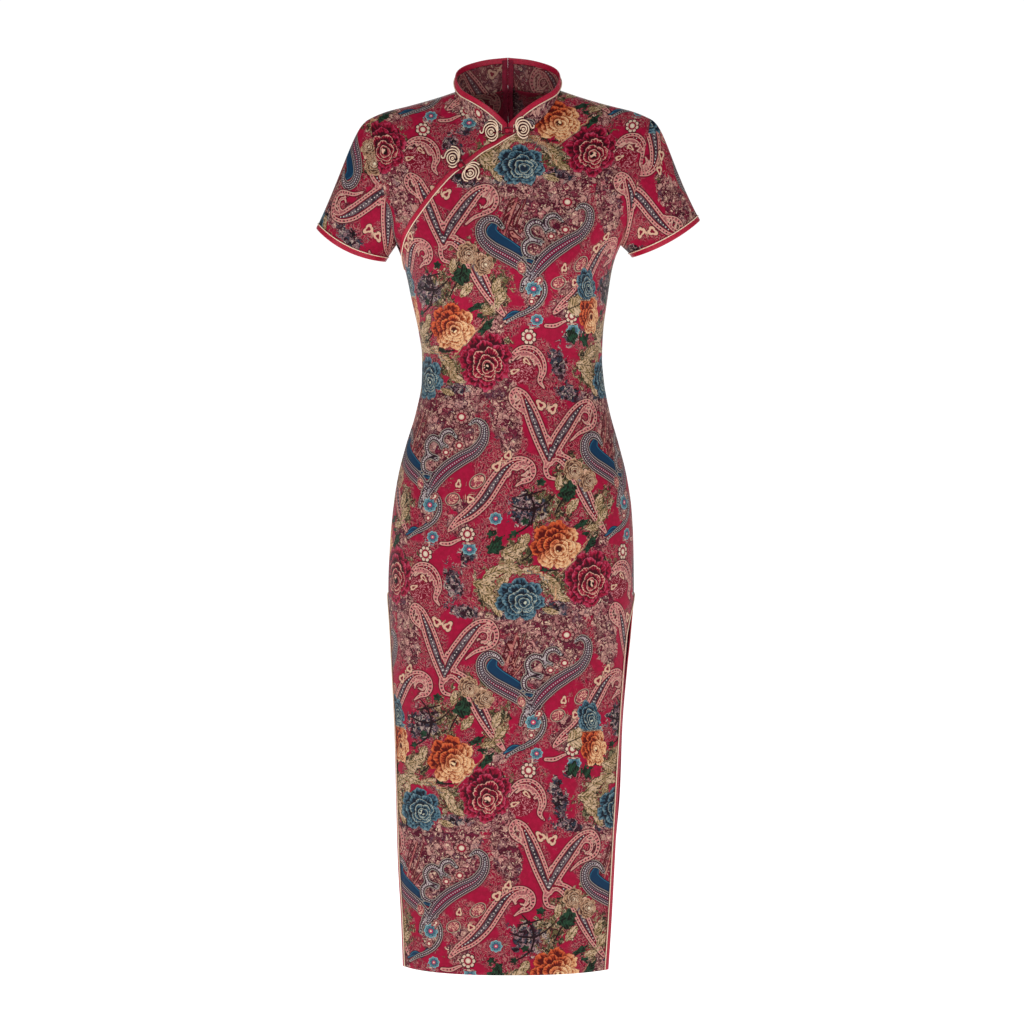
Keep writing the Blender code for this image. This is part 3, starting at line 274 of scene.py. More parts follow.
def between(table: np.ndarray, column_at: np.ndarray, row_at: np.ndarray, middle: int = 0) -> np.ndarray:
    """A table's value between its four nearest entries, where its middle column is at 0."""
    row = np.clip(row_at, 0, table.shape[0] - 1.001)
    col = np.clip(np.asarray(column_at) + middle, 0, table.shape[1] - 1.001)
    row, col = np.broadcast_arrays(row, col)
    r, c = row.astype(int), col.astype(int)
    fr, fc = row - r, col - c
    low = table[r, c] * (1 - fc) + table[r, c + 1] * fc
    high = table[r + 1, c] * (1 - fc) + table[r + 1, c + 1] * fc
    return low * (1 - fr) + high * fr


class BodyForm:
    """The surface that the cloth follows, and the sewing lines on it. A place is a turn and a height."""

    def __init__(self) -> None:
        """Makes the curves of every table, and the tables that lay the surface out flat."""
        self.rows = {name: column(BODY_ROWS, i) for i, name in enumerate(BODY_COLUMNS) if i}
        self.shoulder = column(SHOULDER_ROWS, 1)
        self.armhole = {-1: column(ARMHOLE_ROWS, 1), 1: column(ARMHOLE_ROWS, 2)}
        self.collar_rim = column(COLLAR_ROWS, 1)
        self.relief = {face: self._lay_creases(face) for face in Face}
        self.flat = {face: self._lay_flat(face) for face in Face}

    def wrap(self, face: Face, side: np.ndarray, height: np.ndarray) -> np.ndarray:
        """The panel's last turn, from 1 at the side seam to less down the slit."""
        below = np.clip((SLIT_TOP - height) / SLIT_TOP, 0.0, 1.0)
        name = face.name.lower()
        last = np.where(side < 0, HEM_WRAP[f"{name}_left"], HEM_WRAP[f"{name}_right"])
        return 1 - (1 - last) * np.sqrt(below)

    def half_width(self, face: Face, side: np.ndarray, height: np.ndarray) -> np.ndarray:
        """The ring's half width, wide enough for the finished edge to lie where the table says."""
        name = face.name.lower()
        edge = np.where(side < 0, self.rows[f"{name}_left"](height), self.rows[f"{name}_right"](height))
        return edge / np.sin(np.pi / 2 * self.wrap(face, side, height)) ** (2 / POWER)

    def depth(self, face: Face, across: np.ndarray, height: np.ndarray, crested: bool = True) -> np.ndarray:
        """Distance of the surface from the plane of the side seams.

        Args:
            face: front or back.
            across: distance from the middle, towards the wearer's left.
            height: height above the hem.
            crested: whether the shoulders round over.

        Returns:
            The distances.
        """
        width = self.half_width(face, np.sign(across), height)
        rounding = np.maximum(1 - np.minimum(np.abs(across) / width, 1.0) ** POWER, 0.0) ** (1 / POWER)
        swell = 0.0
        if face is Face.FRONT:
            off_x = (np.abs(across) - BUST_ACROSS) / BUST_SPREAD
            off_z = (height - BUST_HEIGHT) / BUST_SPREAD
            swell = BUST_OUT * np.exp(-off_x * off_x - off_z * off_z)
        reach = (self.rows[face.name.lower()](height) + swell + self.creased(face, across, height)) * rounding
        if not crested:
            return reach
        below = np.clip((self.shoulder(np.abs(across)) - height) / CREST_DROP, 0.0, 1.0)
        return reach * np.sqrt(1 - (1 - below) ** 2)

    def creased(self, face: Face, across: np.ndarray, height: np.ndarray) -> np.ndarray:
        """How far the soft creases raise or sink the cloth."""
        return between(self.relief[face], across / CREASE_STEP, (height - LOWEST) / CREASE_STEP, HALF_SPAN)

    def _lay_creases(self, face: Face) -> np.ndarray:
        """A table of the creases' relief over the whole side, at even steps."""
        across = np.arange(-HALF_SPAN, HALF_SPAN + 1)[None] * CREASE_STEP
        height = LOWEST + np.arange(int((HIGHEST - LOWEST) / CREASE_STEP) + 1)[:, None] * CREASE_STEP
        total = np.zeros(np.broadcast(across, height).shape)
        for side, x_start, z_start, x_end, z_end, bow, breadth, rise in CREASES:
            if side != face.value:
                continue
            run_x, run_z = x_end - x_start, z_end - z_start
            length = math.hypot(run_x, run_z)
            along = ((across - x_start) * run_x + (height - z_start) * run_z) / length**2
            left = ((height - z_start) * run_x - (across - x_start) * run_z) / length
            left = left - bow * 4 * along * (1 - along)
            fade = smoothstep(along / CREASE_RISE) * smoothstep((1 - along) / CREASE_FADE)
            total += rise * fade * np.exp(-((left / breadth) ** 2))
        return total

    def turn_at(self, face: Face, across: np.ndarray, height: np.ndarray) -> np.ndarray:
        """The turn, from -1 to 1, whose point lies this far across."""
        share = np.minimum(np.abs(across) / self.half_width(face, np.sign(across), height), 1.0)
        return np.sign(across) * np.arcsin(share ** (POWER / 2)) / (np.pi / 2)

    def across_at(self, face: Face, turn: np.ndarray, height: np.ndarray) -> np.ndarray:
        """How far across the point at this turn lies."""
        reach = np.abs(np.sin(np.asarray(turn) * np.pi / 2)) ** (2 / POWER)
        return np.sign(turn) * self.half_width(face, np.sign(turn), height) * reach

    def surface(self, face: Face, turn: np.ndarray, height: np.ndarray) -> np.ndarray:
        """Points of the cloth's outer face."""
        across = self.across_at(face, turn, height)
        out = face.value * (self.depth(face, across, height) + SEAM_GAP / 2)
        return joined(across, out, height)

    def skin(self, face: Face, places: np.ndarray) -> np.ndarray:
        """Points at an array of places."""
        places = np.asarray(places, float)
        return self.surface(face, places[..., 0], places[..., 1])

    def normals(self, face: Face, places: np.ndarray) -> np.ndarray:
        """Outward directions at an array of places."""
        places = np.asarray(places, float)
        turn, height = np.clip(places[..., 0], -0.9995, 0.9995), places[..., 1]
        top = self.shoulder(np.abs(self.across_at(face, turn, height))) - 0.6
        height = np.minimum(height, top)
        lower = self.surface(face, turn, height - 0.5)
        rise = self.surface(face, turn, height + 0.5) - lower
        step = 0.0005
        along = self.surface(face, turn + step, height) - self.surface(face, turn - step, height)
        return unit(np.cross(along, rise)) * (-face.value)

    def _lay_flat(self, face: Face) -> tuple:
        """Tables of the distance round from the middle and of the distance up from the hem, over the surface."""
        heights, turns = np.arange(-20.0, HIGHEST, 5.0), np.linspace(-1, 1, 241)
        turn, height = np.meshgrid(turns, heights)
        across = self.across_at(face, turn, height)
        level = joined(across, self.depth(face, across, height, crested=False))
        round_ = run_of(level.transpose(1, 0, 2)).T
        round_ -= round_[:, len(turns) // 2 : len(turns) // 2 + 1]
        return heights, turns, round_, run_of(self.surface(face, turn, height)[..., 1:]) + heights[0]

    def flat_place(self, face: Face, places: np.ndarray) -> np.ndarray:
        """Where places lie on the flat cloth: across from the middle and up from the hem."""
        heights, turns, round_, up = self.flat[face]
        row = (places[..., 1] - heights[0]) / (heights[1] - heights[0])
        col = (places[..., 0] - turns[0]) / (turns[1] - turns[0])
        return joined(between(round_, col, row), between(up, col, row))

    def at_steps(self, face: Face, places: np.ndarray, steps: np.ndarray) -> np.ndarray:
        """The places of a path at given fractions of its length."""
        places = np.asarray(places, float)
        along = run_of(self.skin(face, places))
        return sampled(places, along, np.asarray(steps) * along[-1])

    def inset(self, face: Face, places: np.ndarray, distance: float) -> np.ndarray:
        """The path moved sideways over the surface, to the left of its direction seen from outside."""
        points, outward = self.skin(face, places), self.normals(face, places)
        along = np.empty_like(points)
        along[1:-1], along[0], along[-1] = points[2:] - points[:-2], points[1] - points[0], points[-1] - points[-2]
        aside = unit(np.cross(outward, along)) * distance
        turn, height = places[:, 0], places[:, 1]
        step = np.where(turn < 0.95, 0.01, -0.01)
        by_turn = (self.surface(face, turn + step, height) - points) / step[:, None]
        by_height = points - self.surface(face, turn, height - 1)
        pairs = zip(joined(by_turn, by_height), aside)
        return places + np.array([np.linalg.lstsq(pair, wanted, rcond=None)[0] for pair, wanted in pairs])

    def neck_place(self, face: Face, turn_degrees: np.ndarray, side: int) -> np.ndarray:
        """Where the neck seam crosses the surface, at turns from the centre front or back."""
        angle = np.radians(turn_degrees)
        reach = NECK_FRONT if face is Face.FRONT else NECK_BACK
        across = NECK_X + side * NECK_HALF_WIDTH * np.sin(angle)
        target = reach * np.cos(angle)
        low = np.full_like(np.asarray(across, float), BELOW_NECK)
        high = self.shoulder(np.abs(across)) * np.ones_like(low)
        for _ in range(HALVINGS):
            middle = (low + high) / 2
            deeper = self.depth(face, across, middle) > target
            low, high = np.where(deeper, middle, low), np.where(deeper, high, middle)
        return joined(self.turn_at(face, across, low), low)

    def neckline(self, face: Face, side: int, start: float) -> np.ndarray:
        """The neck seam from near the centre to the shoulder seam."""
        return self.neck_place(face, np.linspace(start, 90.0, NECK_STEPS), side)

    def shoulder_line(self, face: Face, side: int) -> np.ndarray:
        """The shoulder seam from the neck to the shoulder's tip."""
        start = abs(NECK_X + side * NECK_HALF_WIDTH)
        across = side * np.linspace(start, SHOULDER_TIP, SHOULDER_STEPS + 1)
        height = self.shoulder(np.abs(across))
        return joined(self.turn_at(face, across, height), height)

    def armhole_line(self, face: Face, side: int) -> np.ndarray:
        """The armhole from the underarm to the shoulder's tip, closer together where the shoulder rounds over."""
        tip = self.shoulder(SHOULDER_TIP)
        height = UNDERARM + (tip - UNDERARM) * (np.arange(1, 121) / 120) ** 2
        turn = self.turn_at(face, side * self.armhole[side](height), height)
        line = np.concatenate([[(float(side), UNDERARM)], joined(turn, height)])
        steps = 1 - (1 - np.arange(ARMHOLE_STEPS + 1) / ARMHOLE_STEPS) ** 1.3
        return self.at_steps(face, line, steps)

    def opening_edge(self) -> np.ndarray:
        """The finished edge of the slanted opening, from the neck to the side seam."""
        across, heights = np.array(OPENING_ROWS).T
        last_turns, last_heights = np.array(OPENING_LAST).T
        turns = np.append(self.turn_at(Face.FRONT, across, heights), last_turns)
        heights = np.append(heights, last_heights)
        along = run_of(joined(turns * TURN_SPAN, heights))
        wanted = np.linspace(0, along[-1], 200)
        places = joined(Profile(along, turns)(wanted), Profile(along, heights)(wanted))
        return self.at_steps(Face.FRONT, places, np.linspace(0, 1, OPENING_STEPS + 1))

    def opening_inner(self, distance: float) -> np.ndarray:
        """The line on the front that lies this far inside the opening's finished edge."""
        line = self.inset(Face.FRONT, self.opening_edge(), distance)
        start = self.neck_place(Face.FRONT, OPENING_NECK_TURN * distance / CLOTH_EDGE, 1)
        count = 5
        for i in range(count):
            line[i] += (start - line[0]) * (1 - i / count) ** 2 if i else 0.0
        line[0] = start
        end_turn, end_height = line[-1]
        line[-1] = (-1.0, end_height - 1.5 * distance * max(end_turn + 1, 0))
        line[:, 0] = np.maximum(line[:, 0], -1.0)
        return line

    def slit_inner(self, face: Face, side: int, height: np.ndarray, distance: float) -> np.ndarray:
        """Turn of the line that lies inside a panel's finished side edge, by up to this distance."""
        last = self.wrap(face, side, height)
        step = self.surface(face, side * (last - 0.02), height) - self.surface(face, side * last, height)
        width = distance * smoothstep((SLIT_TOP - height) / SLIT_BIND_RUN)
        return side * (last - 0.02 * width / np.linalg.norm(step, axis=-1))

    def centre_back(self, side: int, height: np.ndarray, away: np.ndarray | float = CENTRE_GAP) -> np.ndarray:
        """Turn of the line this far from the middle of the back, which leans to the middle of the neck."""
        lean = NECK_X * np.clip((height - YOKE) / (NECK_HEIGHT - YOKE), 0.0, 1.0)
        return self.turn_at(Face.BACK, lean + side * away, height)

    def neck_round(self, side: int, turn: np.ndarray) -> np.ndarray:
        """The neck seam on the body, all the way round one side, at turns from the centre front."""
        turn = np.asarray(turn, float)
        front = self.skin(Face.FRONT, self.neck_place(Face.FRONT, np.minimum(turn, 90.0), side))
        back = self.skin(Face.BACK, self.neck_place(Face.BACK, np.minimum(180.0 - turn, 90.0), side))
        return np.where((turn <= 90.0)[..., None], front, back)

    def collar_rim_at(self, side: int, turn: np.ndarray) -> np.ndarray:
        """The collar's finished top edge."""
        angle = np.radians(turn)
        reach = np.where(np.asarray(turn) <= 90, COLLAR_FRONT, COLLAR_BACK)
        across = NECK_X + side * COLLAR_HALF_WIDTH * np.sin(angle)
        return joined(across, -reach * np.cos(angle), self.collar_rim(turn))

    def collar_point(self, side: int, turn: np.ndarray, up: np.ndarray) -> np.ndarray:
        """Points of the collar's outer face: up is 0 in the seam and 1 on the finished edge."""
        turn, up = np.broadcast_arrays(np.asarray(turn, float), np.asarray(up, float))
        low, high = self.neck_round(side, turn), self.collar_rim_at(side, turn)
        low = low - SEAM_SINK * unit(unit(high - low) + np.array((0, 0, 0.6)))
        angle = np.radians(turn)
        out = joined(np.sin(angle) * side, -np.cos(angle), 0.0)
        return low + (high - low) * up[..., None] + out * (COLLAR_BULGE * 4 * up * (1 - up))[..., None]

    def collar_normal(self, side: int, turn: np.ndarray, up: np.ndarray) -> np.ndarray:
        """Outward directions of the collar."""
        t0, t1 = np.maximum(np.asarray(turn) - 1, 0.3), np.minimum(np.asarray(turn) + 1, 179.9)
        u0, u1 = np.maximum(np.asarray(up) - 0.05, 0.0), np.minimum(np.asarray(up) + 0.05, 1.0)
        along = self.collar_point(side, t1, up) - self.collar_point(side, t0, up)
        rise = self.collar_point(side, turn, u1) - self.collar_point(side, turn, u0)
        return unit(np.cross(along, rise)) * side

    def collar_inset(self, side: int, turn: np.ndarray, distance: float) -> np.ndarray:
        """How far up the collar a line runs that keeps this distance below the finished edge."""
        turn = np.asarray(turn, float)
        t0, t1 = np.maximum(turn - 1.5, 0.0), np.minimum(turn + 1.5, 180.0)
        ahead = self.collar_rim_at(side, t1) - self.collar_rim_at(side, t0)
        drop = distance * np.hypot(1, ahead[..., 2] / np.hypot(ahead[..., 0], ahead[..., 1]))
        tall = np.linalg.norm(self.collar_rim_at(side, turn) - self.neck_round(side, turn), axis=-1)
        return np.maximum(1 - drop / tall, 0.05)

    def front_reach(self, across: np.ndarray, height: np.ndarray) -> np.ndarray:
        """How far forward the garment's outer face is, on the body or on the collar."""
        across, height = np.asarray(across, float), np.asarray(height, float)
        body = self.depth(Face.FRONT, across, height) + SEAM_GAP / 2
        best = body.copy()
        turn = np.degrees(np.arcsin(np.minimum(np.abs(across - NECK_X) / NECK_HALF_WIDTH, 1.0)))
        for side in (-1, 1):
            low, high = self.neck_round(side, turn), self.collar_rim_at(side, turn)
            up = np.clip((height - low[..., 2]) / (high[..., 2] - low[..., 2]), 0.0, 1.0)
            reach = -self.collar_point(side, turn, up)[..., 1]
            here = (np.sign(across - NECK_X) == side) & (height >= low[..., 2])
            best = np.where(here, np.maximum(body, reach), best)
        return best


def corner_turn(distance: float) -> float:
    """Turn of the line this far from the collar's centre front edge."""
    return math.degrees(math.asin((distance + COLLAR_PARTING) / COLLAR_HALF_WIDTH))


def coons(bottom: np.ndarray, top: np.ndarray, left: np.ndarray, right: np.ndarray, steps: np.ndarray) -> np.ndarray:
    """Places between four edges, each blended from all of them.

    Args:
        bottom, top: edges with one place for each column.
        left, right: edges with one place for each row.
        steps: how far up each row is.

    Returns:
        Places, rows by columns.
    """
    weight = ((bottom[:, 0] - bottom[0, 0]) / (bottom[-1, 0] - bottom[0, 0]))[None, :, None]
    step = np.asarray(steps)[:, None, None]
    spans = (1 - step) * bottom + step * top
    sides = (1 - weight) * left[:, None] + weight * right[:, None]
    corners = (1 - step) * ((1 - weight) * bottom[0] + weight * bottom[-1])
    corners = corners + step * ((1 - weight) * top[0] + weight * top[-1])
    return spans + sides - corners


# ---------------------------------------------------------------- making pieces

# A stitch's thread: the share of its length from its start, and how far it rises out of the cloth there
STITCH_SHAPE = ((0.0, -0.15), (0.2, 0.08), (0.5, 0.16), (0.8, 0.08), (1.0, -0.15))
STITCH_SIDES, THREAD_RADIUS = 6, 0.2


@dataclass
class Grid:
    """A sheet of cloth as rows of points, with where each point lies on the flat cloth."""

    points: np.ndarray
    normals: np.ndarray
    flat: np.ndarray
    closed: bool = False


def grid_normals(points: np.ndarray, outward: np.ndarray, closed: bool = False) -> np.ndarray:
    """Normals of a grid of points, on the side of the given rough directions."""
    if closed:
        around = np.roll(points[:, :-1], -1, axis=1) - np.roll(points[:, :-1], 1, axis=1)
        around = np.concatenate([around, around[:, :1]], axis=1)
    else:
        around = np.gradient(points, axis=1)
    found = unit(np.cross(around, np.gradient(points, axis=0)))
    lost = np.linalg.norm(found, axis=-1, keepdims=True) < 0.5
    found = np.where(lost, unit(outward), found)
    return np.where(np.sum(found * outward, axis=-1, keepdims=True) < 0, -found, found)


def linked(name: str, data: bpy.types.ID) -> bpy.types.Object:
    """An object of this data, in the scene."""
    made = bpy.data.objects.new(name, data)
    bpy.context.scene.collection.objects.link(made)
    return made


def add_mesh(name: str, points: np.ndarray, faces: list[list[int]], finish: bpy.types.Material) -> bpy.types.Object:
    """Makes a smooth object from points in millimetres over the hem, its faces and its material."""
    mesh = bpy.data.meshes.new(name)
    mesh.from_pydata(world(points).tolist(), [], faces)
    mesh.materials.append(finish)
    mesh.shade_smooth()
    return linked(name, mesh)


def shell(name: str, grid: Grid, thick: float | np.ndarray, finish: bpy.types.Material) -> bpy.types.Object:
    """Makes a closed wall of cloth: the grid outside, the same grid moved in, and a rim between.

    Args:
        name: the piece's name.
        grid: the outer face.
        thick: the wall's thickness, or the thickness at each point.
        finish: the material.

    Returns:
        The object.
    """
    outer, normals, flat = grid.points, grid.normals, grid.flat
    if grid.closed:
        outer, normals, flat = outer[:, :-1], normals[:, :-1], flat[:, :-1]
    rows, columns = outer.shape[:2]
    inner = outer - thick * normals
    count = rows * columns
    index = np.arange(count).reshape(rows, columns)
    after = np.roll(index, -1, axis=1) if grid.closed else index[:, 1:]
    here = index if grid.closed else index[:, :-1]
    quads = joined(here[:-1], after[:-1], after[1:], here[1:]).reshape(-1, 4)
    if grid.closed:
        rims = [np.append(index[0], index[0, 0]), np.append(index[-1], index[-1, 0])[::-1]]
    else:
        rims = [np.concatenate([index[0], index[1:, -1], index[-1, -2::-1], index[-2::-1, 0]])]
    sides = [joined(rim[:-1], rim[:-1] + count, rim[1:] + count, rim[1:]) for rim in rims]
    faces = np.concatenate([quads, quads[:, ::-1] + count] + sides)
    points = np.concatenate([outer.reshape(-1, 3), inner.reshape(-1, 3)])
    a, b, c = points[faces[0, :3]]
    if np.dot(np.cross(b - a, c - a), normals.reshape(-1, 3)[faces[0, 0]]) < 0:
        faces = faces[:, ::-1]
    made = add_mesh(name, points, faces.tolist(), finish)
    write_uv(made.data, np.tile(flat.reshape(-1, 2), (2, 1)), grid.flat if grid.closed else None, columns, count)
    write_layer(made.data, "inside", np.repeat((0.0, 1.0), count))
    return made


def write_uv(mesh: bpy.types.Mesh, flat: np.ndarray, seam: np.ndarray | None, columns: int, count: int) -> None:
    """Writes the flat cloth's places, in metres, as the UV map; a closed ring gets its own last column."""
    layer = mesh.uv_layers.new(name="cloth")
    corner = np.empty(len(mesh.loops), np.int32)
    mesh.loops.foreach_get("vertex_index", corner)
    uv = flat[corner] * MM
    if seam is not None:
        column_of = (corner % count) % columns
        starts = np.empty(len(mesh.polygons), np.int32)
        mesh.polygons.foreach_get("loop_start", starts)
        per_face = column_of.reshape(-1, 4)
        wraps = (per_face.max(axis=1) == columns - 1) & (per_face.min(axis=1) == 0)
        late = np.repeat(wraps, 4) & (column_of == 0)
        row_of = (corner % count) // columns
        uv[late] = seam[row_of[late], -1] * MM
    layer.data.foreach_set("uv", uv.reshape(-1).astype(np.float32))


def write_layer(mesh: bpy.types.Mesh, name: str, values: np.ndarray) -> None:
    """Writes one number or three a vertex."""
    kind, key = ("FLOAT", "value") if values.ndim == 1 else ("FLOAT_VECTOR", "vector")
    mesh.attributes.new(name, kind, "POINT").data.foreach_set(key, values.astype(np.float32).reshape(-1))


def add_cord(
    name: str,
    lines: np.ndarray | list[np.ndarray],
    radius: float,
    finish: bpy.types.Material,
    closed: bool = False,
    fineness: int = 3,
) -> bpy.types.Object:
    """Makes round cord along one or more lines with a curve's own bevel, as a mesh.

    Args:
        name: the piece's name.
        lines: the centre line, or several.
        radius: the cord's radius.
        finish: the material.
        closed: whether each cord meets its own start.
        fineness: how finely its section is divided.

    Returns:
        The object.
    """
    bpy.ops.object.select_all(action="DESELECT")
    curve = bpy.data.curves.new(name, "CURVE")
    curve.dimensions = "3D"
    curve.bevel_depth = MM
    curve.bevel_resolution = fineness
    curve.use_fill_caps = not closed
    for points in lines if isinstance(lines, list) else [lines]:
        spline = curve.splines.new("POLY")
        spline.points.add(len(points) - 1)
        for target, place in zip(spline.points, world(points)):
            target.co = (*place, 1)
            target.radius = radius
        spline.use_cyclic_u = closed
    made = linked(name, curve)
    made.select_set(True)
    bpy.context.view_layer.objects.active = made
    bpy.ops.object.convert(target="MESH")
    made = bpy.context.view_layer.objects.active
    made.data.materials.clear()
    made.data.materials.append(finish)
    made.data.shade_smooth()
    return made


def add_stitches(
    name: str, rows: list[tuple[np.ndarray, np.ndarray]], pitch: float, share: float, finish: bpy.types.Material
) -> bpy.types.Object:
    """Makes rows of stitches, each a short thread that rises out of the cloth and dips back in.

    Args:
        name: the piece's name.
        rows: for each row, points on the cloth's face and the directions off it.
        pitch: from the start of one stitch to the start of the next.
        share: how much of that the thread shows.
        finish: the thread's material.

    Returns:
        The object.
    """
    reach, rise = np.array(STITCH_SHAPE).T
    turn = np.arange(STITCH_SIDES)[:, None] * 2 * np.pi / STITCH_SIDES
    places = []
    for points, normals in rows:
        along = run_of(points)
        wanted = np.arange(pitch / 2, along[-1] - pitch, pitch)[:, None] + pitch * share * reach
        middle, out = sampled(points, along, wanted), unit(sampled(normals, along, wanted))
        way = unit(middle[:, -1:] - middle[:, :1])
        middle, aside = middle + out * rise[:, None], np.cross(out, way)
        ring = aside[:, :, None] * np.cos(turn) + out[:, :, None] * np.sin(turn)
        places.append((middle[:, :, None] + THREAD_RADIUS * ring).reshape(-1, 3))
    points = np.concatenate(places)
    index = np.arange(len(points)).reshape(-1, len(reach), STITCH_SIDES)
    after = np.roll(index, -1, axis=2)
    sides = joined(index[:, :-1], after[:, :-1], after[:, 1:], index[:, 1:]).reshape(-1, 4)
    return add_mesh(name, points, sides.tolist() + index[:, 0, ::-1].tolist() + index[:, -1].tolist(), finish)


def resampled(points: np.ndarray, spacing: float) -> np.ndarray:
    """A line of points at an even spacing."""
    along = run_of(points)
    return sampled(points, along, np.linspace(0, along[-1], max(int(along[-1] / spacing), 2) + 1))


def smoothed(points: np.ndarray, passes: int) -> np.ndarray:
    """A line of points with its kinks eased, its ends kept."""
    points = points.copy()
    for _ in range(passes):
        points[1:-1] = (points[:-2] + 2 * points[1:-1] + points[2:]) / 4
    return points


# ---------------------------------------------------------------- body panels

TUCK_RAMP = 9.0  # over this width the underlap sinks behind the front
UNDERLAP_DIP = 4.0  # how far below the end of its edge the underlap meets the side seam
SEAM_ROWS, CENTRE_ROWS = 15, 60  # from the yoke to the underarm, and from the yoke to the neck


@dataclass
class Sheets:
    """Walls of cloth cut from one material, each under the name of the node that it replaces."""

    form: BodyForm
    finish: bpy.types.Material
    made: dict[str, bpy.types.Object] = field(default_factory=dict, init=False)
    grids: dict[str, Grid] = field(default_factory=dict, init=False)

    def add(self, node: str, grid: Grid) -> None:
        """Keeps a grid and makes its wall."""
        self.grids[node] = grid
        self.made[node] = shell(node + "_cloth", grid, SATIN, self.finish)


@dataclass
class Panels(Sheets):
    """The front, the two backs and the underlap."""

    def level_rows(self, left: Callable, right: Callable, count: int) -> np.ndarray:
        """Rows of places at even heights from the hem to the yoke.

        Args:
            left, right: give the turn of each edge at a height.
            count: places in each row.

        Returns:
            Places, rows by columns.
        """
        heights = np.linspace(0.0, YOKE, int(YOKE / LEVEL_SPACING) + 1)
        fractions = np.linspace(0, 1, count)
        start, end = left(heights)[:, None], right(heights)[:, None]
        turns = start + (end - start) * fractions
        return joined(turns, heights[:, None])

    def side_and_armhole(self, face: Face, side: int) -> np.ndarray:
        """A panel's side above the yoke: the side seam and then the armhole."""
        heights = np.linspace(YOKE, UNDERARM, SEAM_ROWS + 1)[:-1]
        seam = joined(float(side), heights)
        return np.concatenate([seam, self.form.armhole_line(face, side)])

    def steps_of(self, face: Face, places: np.ndarray) -> np.ndarray:
        """How far along a path each of its places is, as a fraction."""
        along = run_of(self.form.skin(face, places))
        return along / along[-1]

    def front_places(self) -> np.ndarray:
        """Places of the front panel, hem to the opening, the neck and the shoulder."""
        form, face = self.form, Face.FRONT
        top = np.concatenate(
            [
                form.opening_inner(CLOTH_EDGE)[::-1],
                form.neckline(face, 1, OPENING_NECK_TURN)[1:],
                form.shoulder_line(face, 1)[1:],
            ]
        )
        rows = self.level_rows(
            lambda height: form.slit_inner(face, -1, height, CLOTH_EDGE),
            lambda height: form.slit_inner(face, 1, height, CLOTH_EDGE),
            len(top),
        )
        right = self.side_and_armhole(face, 1)
        steps = self.steps_of(face, right)
        left = joined(-1.0, YOKE + (top[0, 1] - YOKE) * steps)
        return np.concatenate([rows, coons(rows[-1], top, left, right, steps)[1:]])

    def back_places(self, side: int) -> np.ndarray:
        """Places of one back panel, from the centre back out to the side."""
        form, face = self.form, Face.BACK
        top = np.concatenate([form.neckline(face, side, NECK_EDGE_TURN), form.shoulder_line(face, side)[1:]])
        rows = self.level_rows(
            lambda height: form.centre_back(side, height),
            lambda height: form.slit_inner(face, side, height, CLOTH_EDGE),
            len(top),
        )
        outside = self.side_and_armhole(face, side)
        steps = self.steps_of(face, outside)
        heights = np.linspace(YOKE, top[0, 1], CENTRE_ROWS + 1)
        centre = joined(form.centre_back(side, heights), heights)
        centre = form.at_steps(face, centre, steps)
        return np.concatenate([rows, coons(rows[-1], top, centre, outside, steps)[1:]])

    def underlap_places(self) -> np.ndarray:
        """Places of the piece that fills the shoulder above the opening and runs under the front."""
        form, face = self.form, Face.FRONT
        start = form.neck_place(face, np.array(UNDERLAP_NECK_TURN), 1)
        top = np.concatenate(
            [
                form.armhole_line(face, -1),
                form.shoulder_line(face, -1)[::-1][1:],
                form.neckline(face, -1, NECK_EDGE_TURN)[::-1][1:],
                start[None],
            ]
        )
        low = form.inset(face, form.opening_edge(), OVERLAP)
        low = form.at_steps(face, low, np.linspace(0, 1, len(top)))[::-1]
        low[:, 0] = np.maximum(low[:, 0], -1.0)
        low[0] = (-1.0, low[0, 1] - UNDERLAP_DIP)
        low[-1] = (start[0], start[1] - OVERLAP)
        steps = np.linspace(0, 1, UNDERLAP_ROWS + 1)
        left = joined(-1.0, low[0, 1] + (UNDERARM - low[0, 1]) * steps)
        right = joined(start[0], start[1] - OVERLAP * (1 - steps))
        return coons(low, top, left, right, steps)

    def tucked(self, points: np.ndarray, normals: np.ndarray) -> np.ndarray:
        """The underlap's points, moved in where the front lies over them."""
        edge = self.form.skin(Face.FRONT, self.form.opening_edge())
        inside = self.form.skin(Face.FRONT, self.form.opening_inner(CLOTH_EDGE))
        flat_edge, toward = edge[:, [0, 2]], unit((inside - edge)[:, [0, 2]])
        flat = points[..., [0, 2]].reshape(-1, 2)
        away = flat[:, None] - flat_edge[None]
        nearest = np.argmin(np.linalg.norm(away, axis=-1), axis=1)
        under = np.sum(away[np.arange(len(flat)), nearest] * toward[nearest], axis=-1).reshape(points.shape[:2])
        share = smoothstep((under + TUCK_RAMP) / TUCK_RAMP)
        return points - (TUCK * share)[..., None] * normals

    def panel(self, name: str, face: Face, places: np.ndarray, tuck: bool = False) -> None:
        """Makes one panel from its places."""
        points, outward = self.form.skin(face, places), self.form.normals(face, places)
        if tuck:
            points = self.tucked(points, outward)
        self.add(name, Grid(points, outward, self.form.flat_place(face, places)))

    def build(self) -> None:
        """Makes the four body panels."""
        self.panel("front", Face.FRONT, self.front_places())
        for side, who in SIDES:
            self.panel(f"back_{who}", Face.BACK, self.back_places(side))
        self.panel("front_underlap", Face.FRONT, self.underlap_places(), tuck=True)


# ---------------------------------------------------------------- trimmings

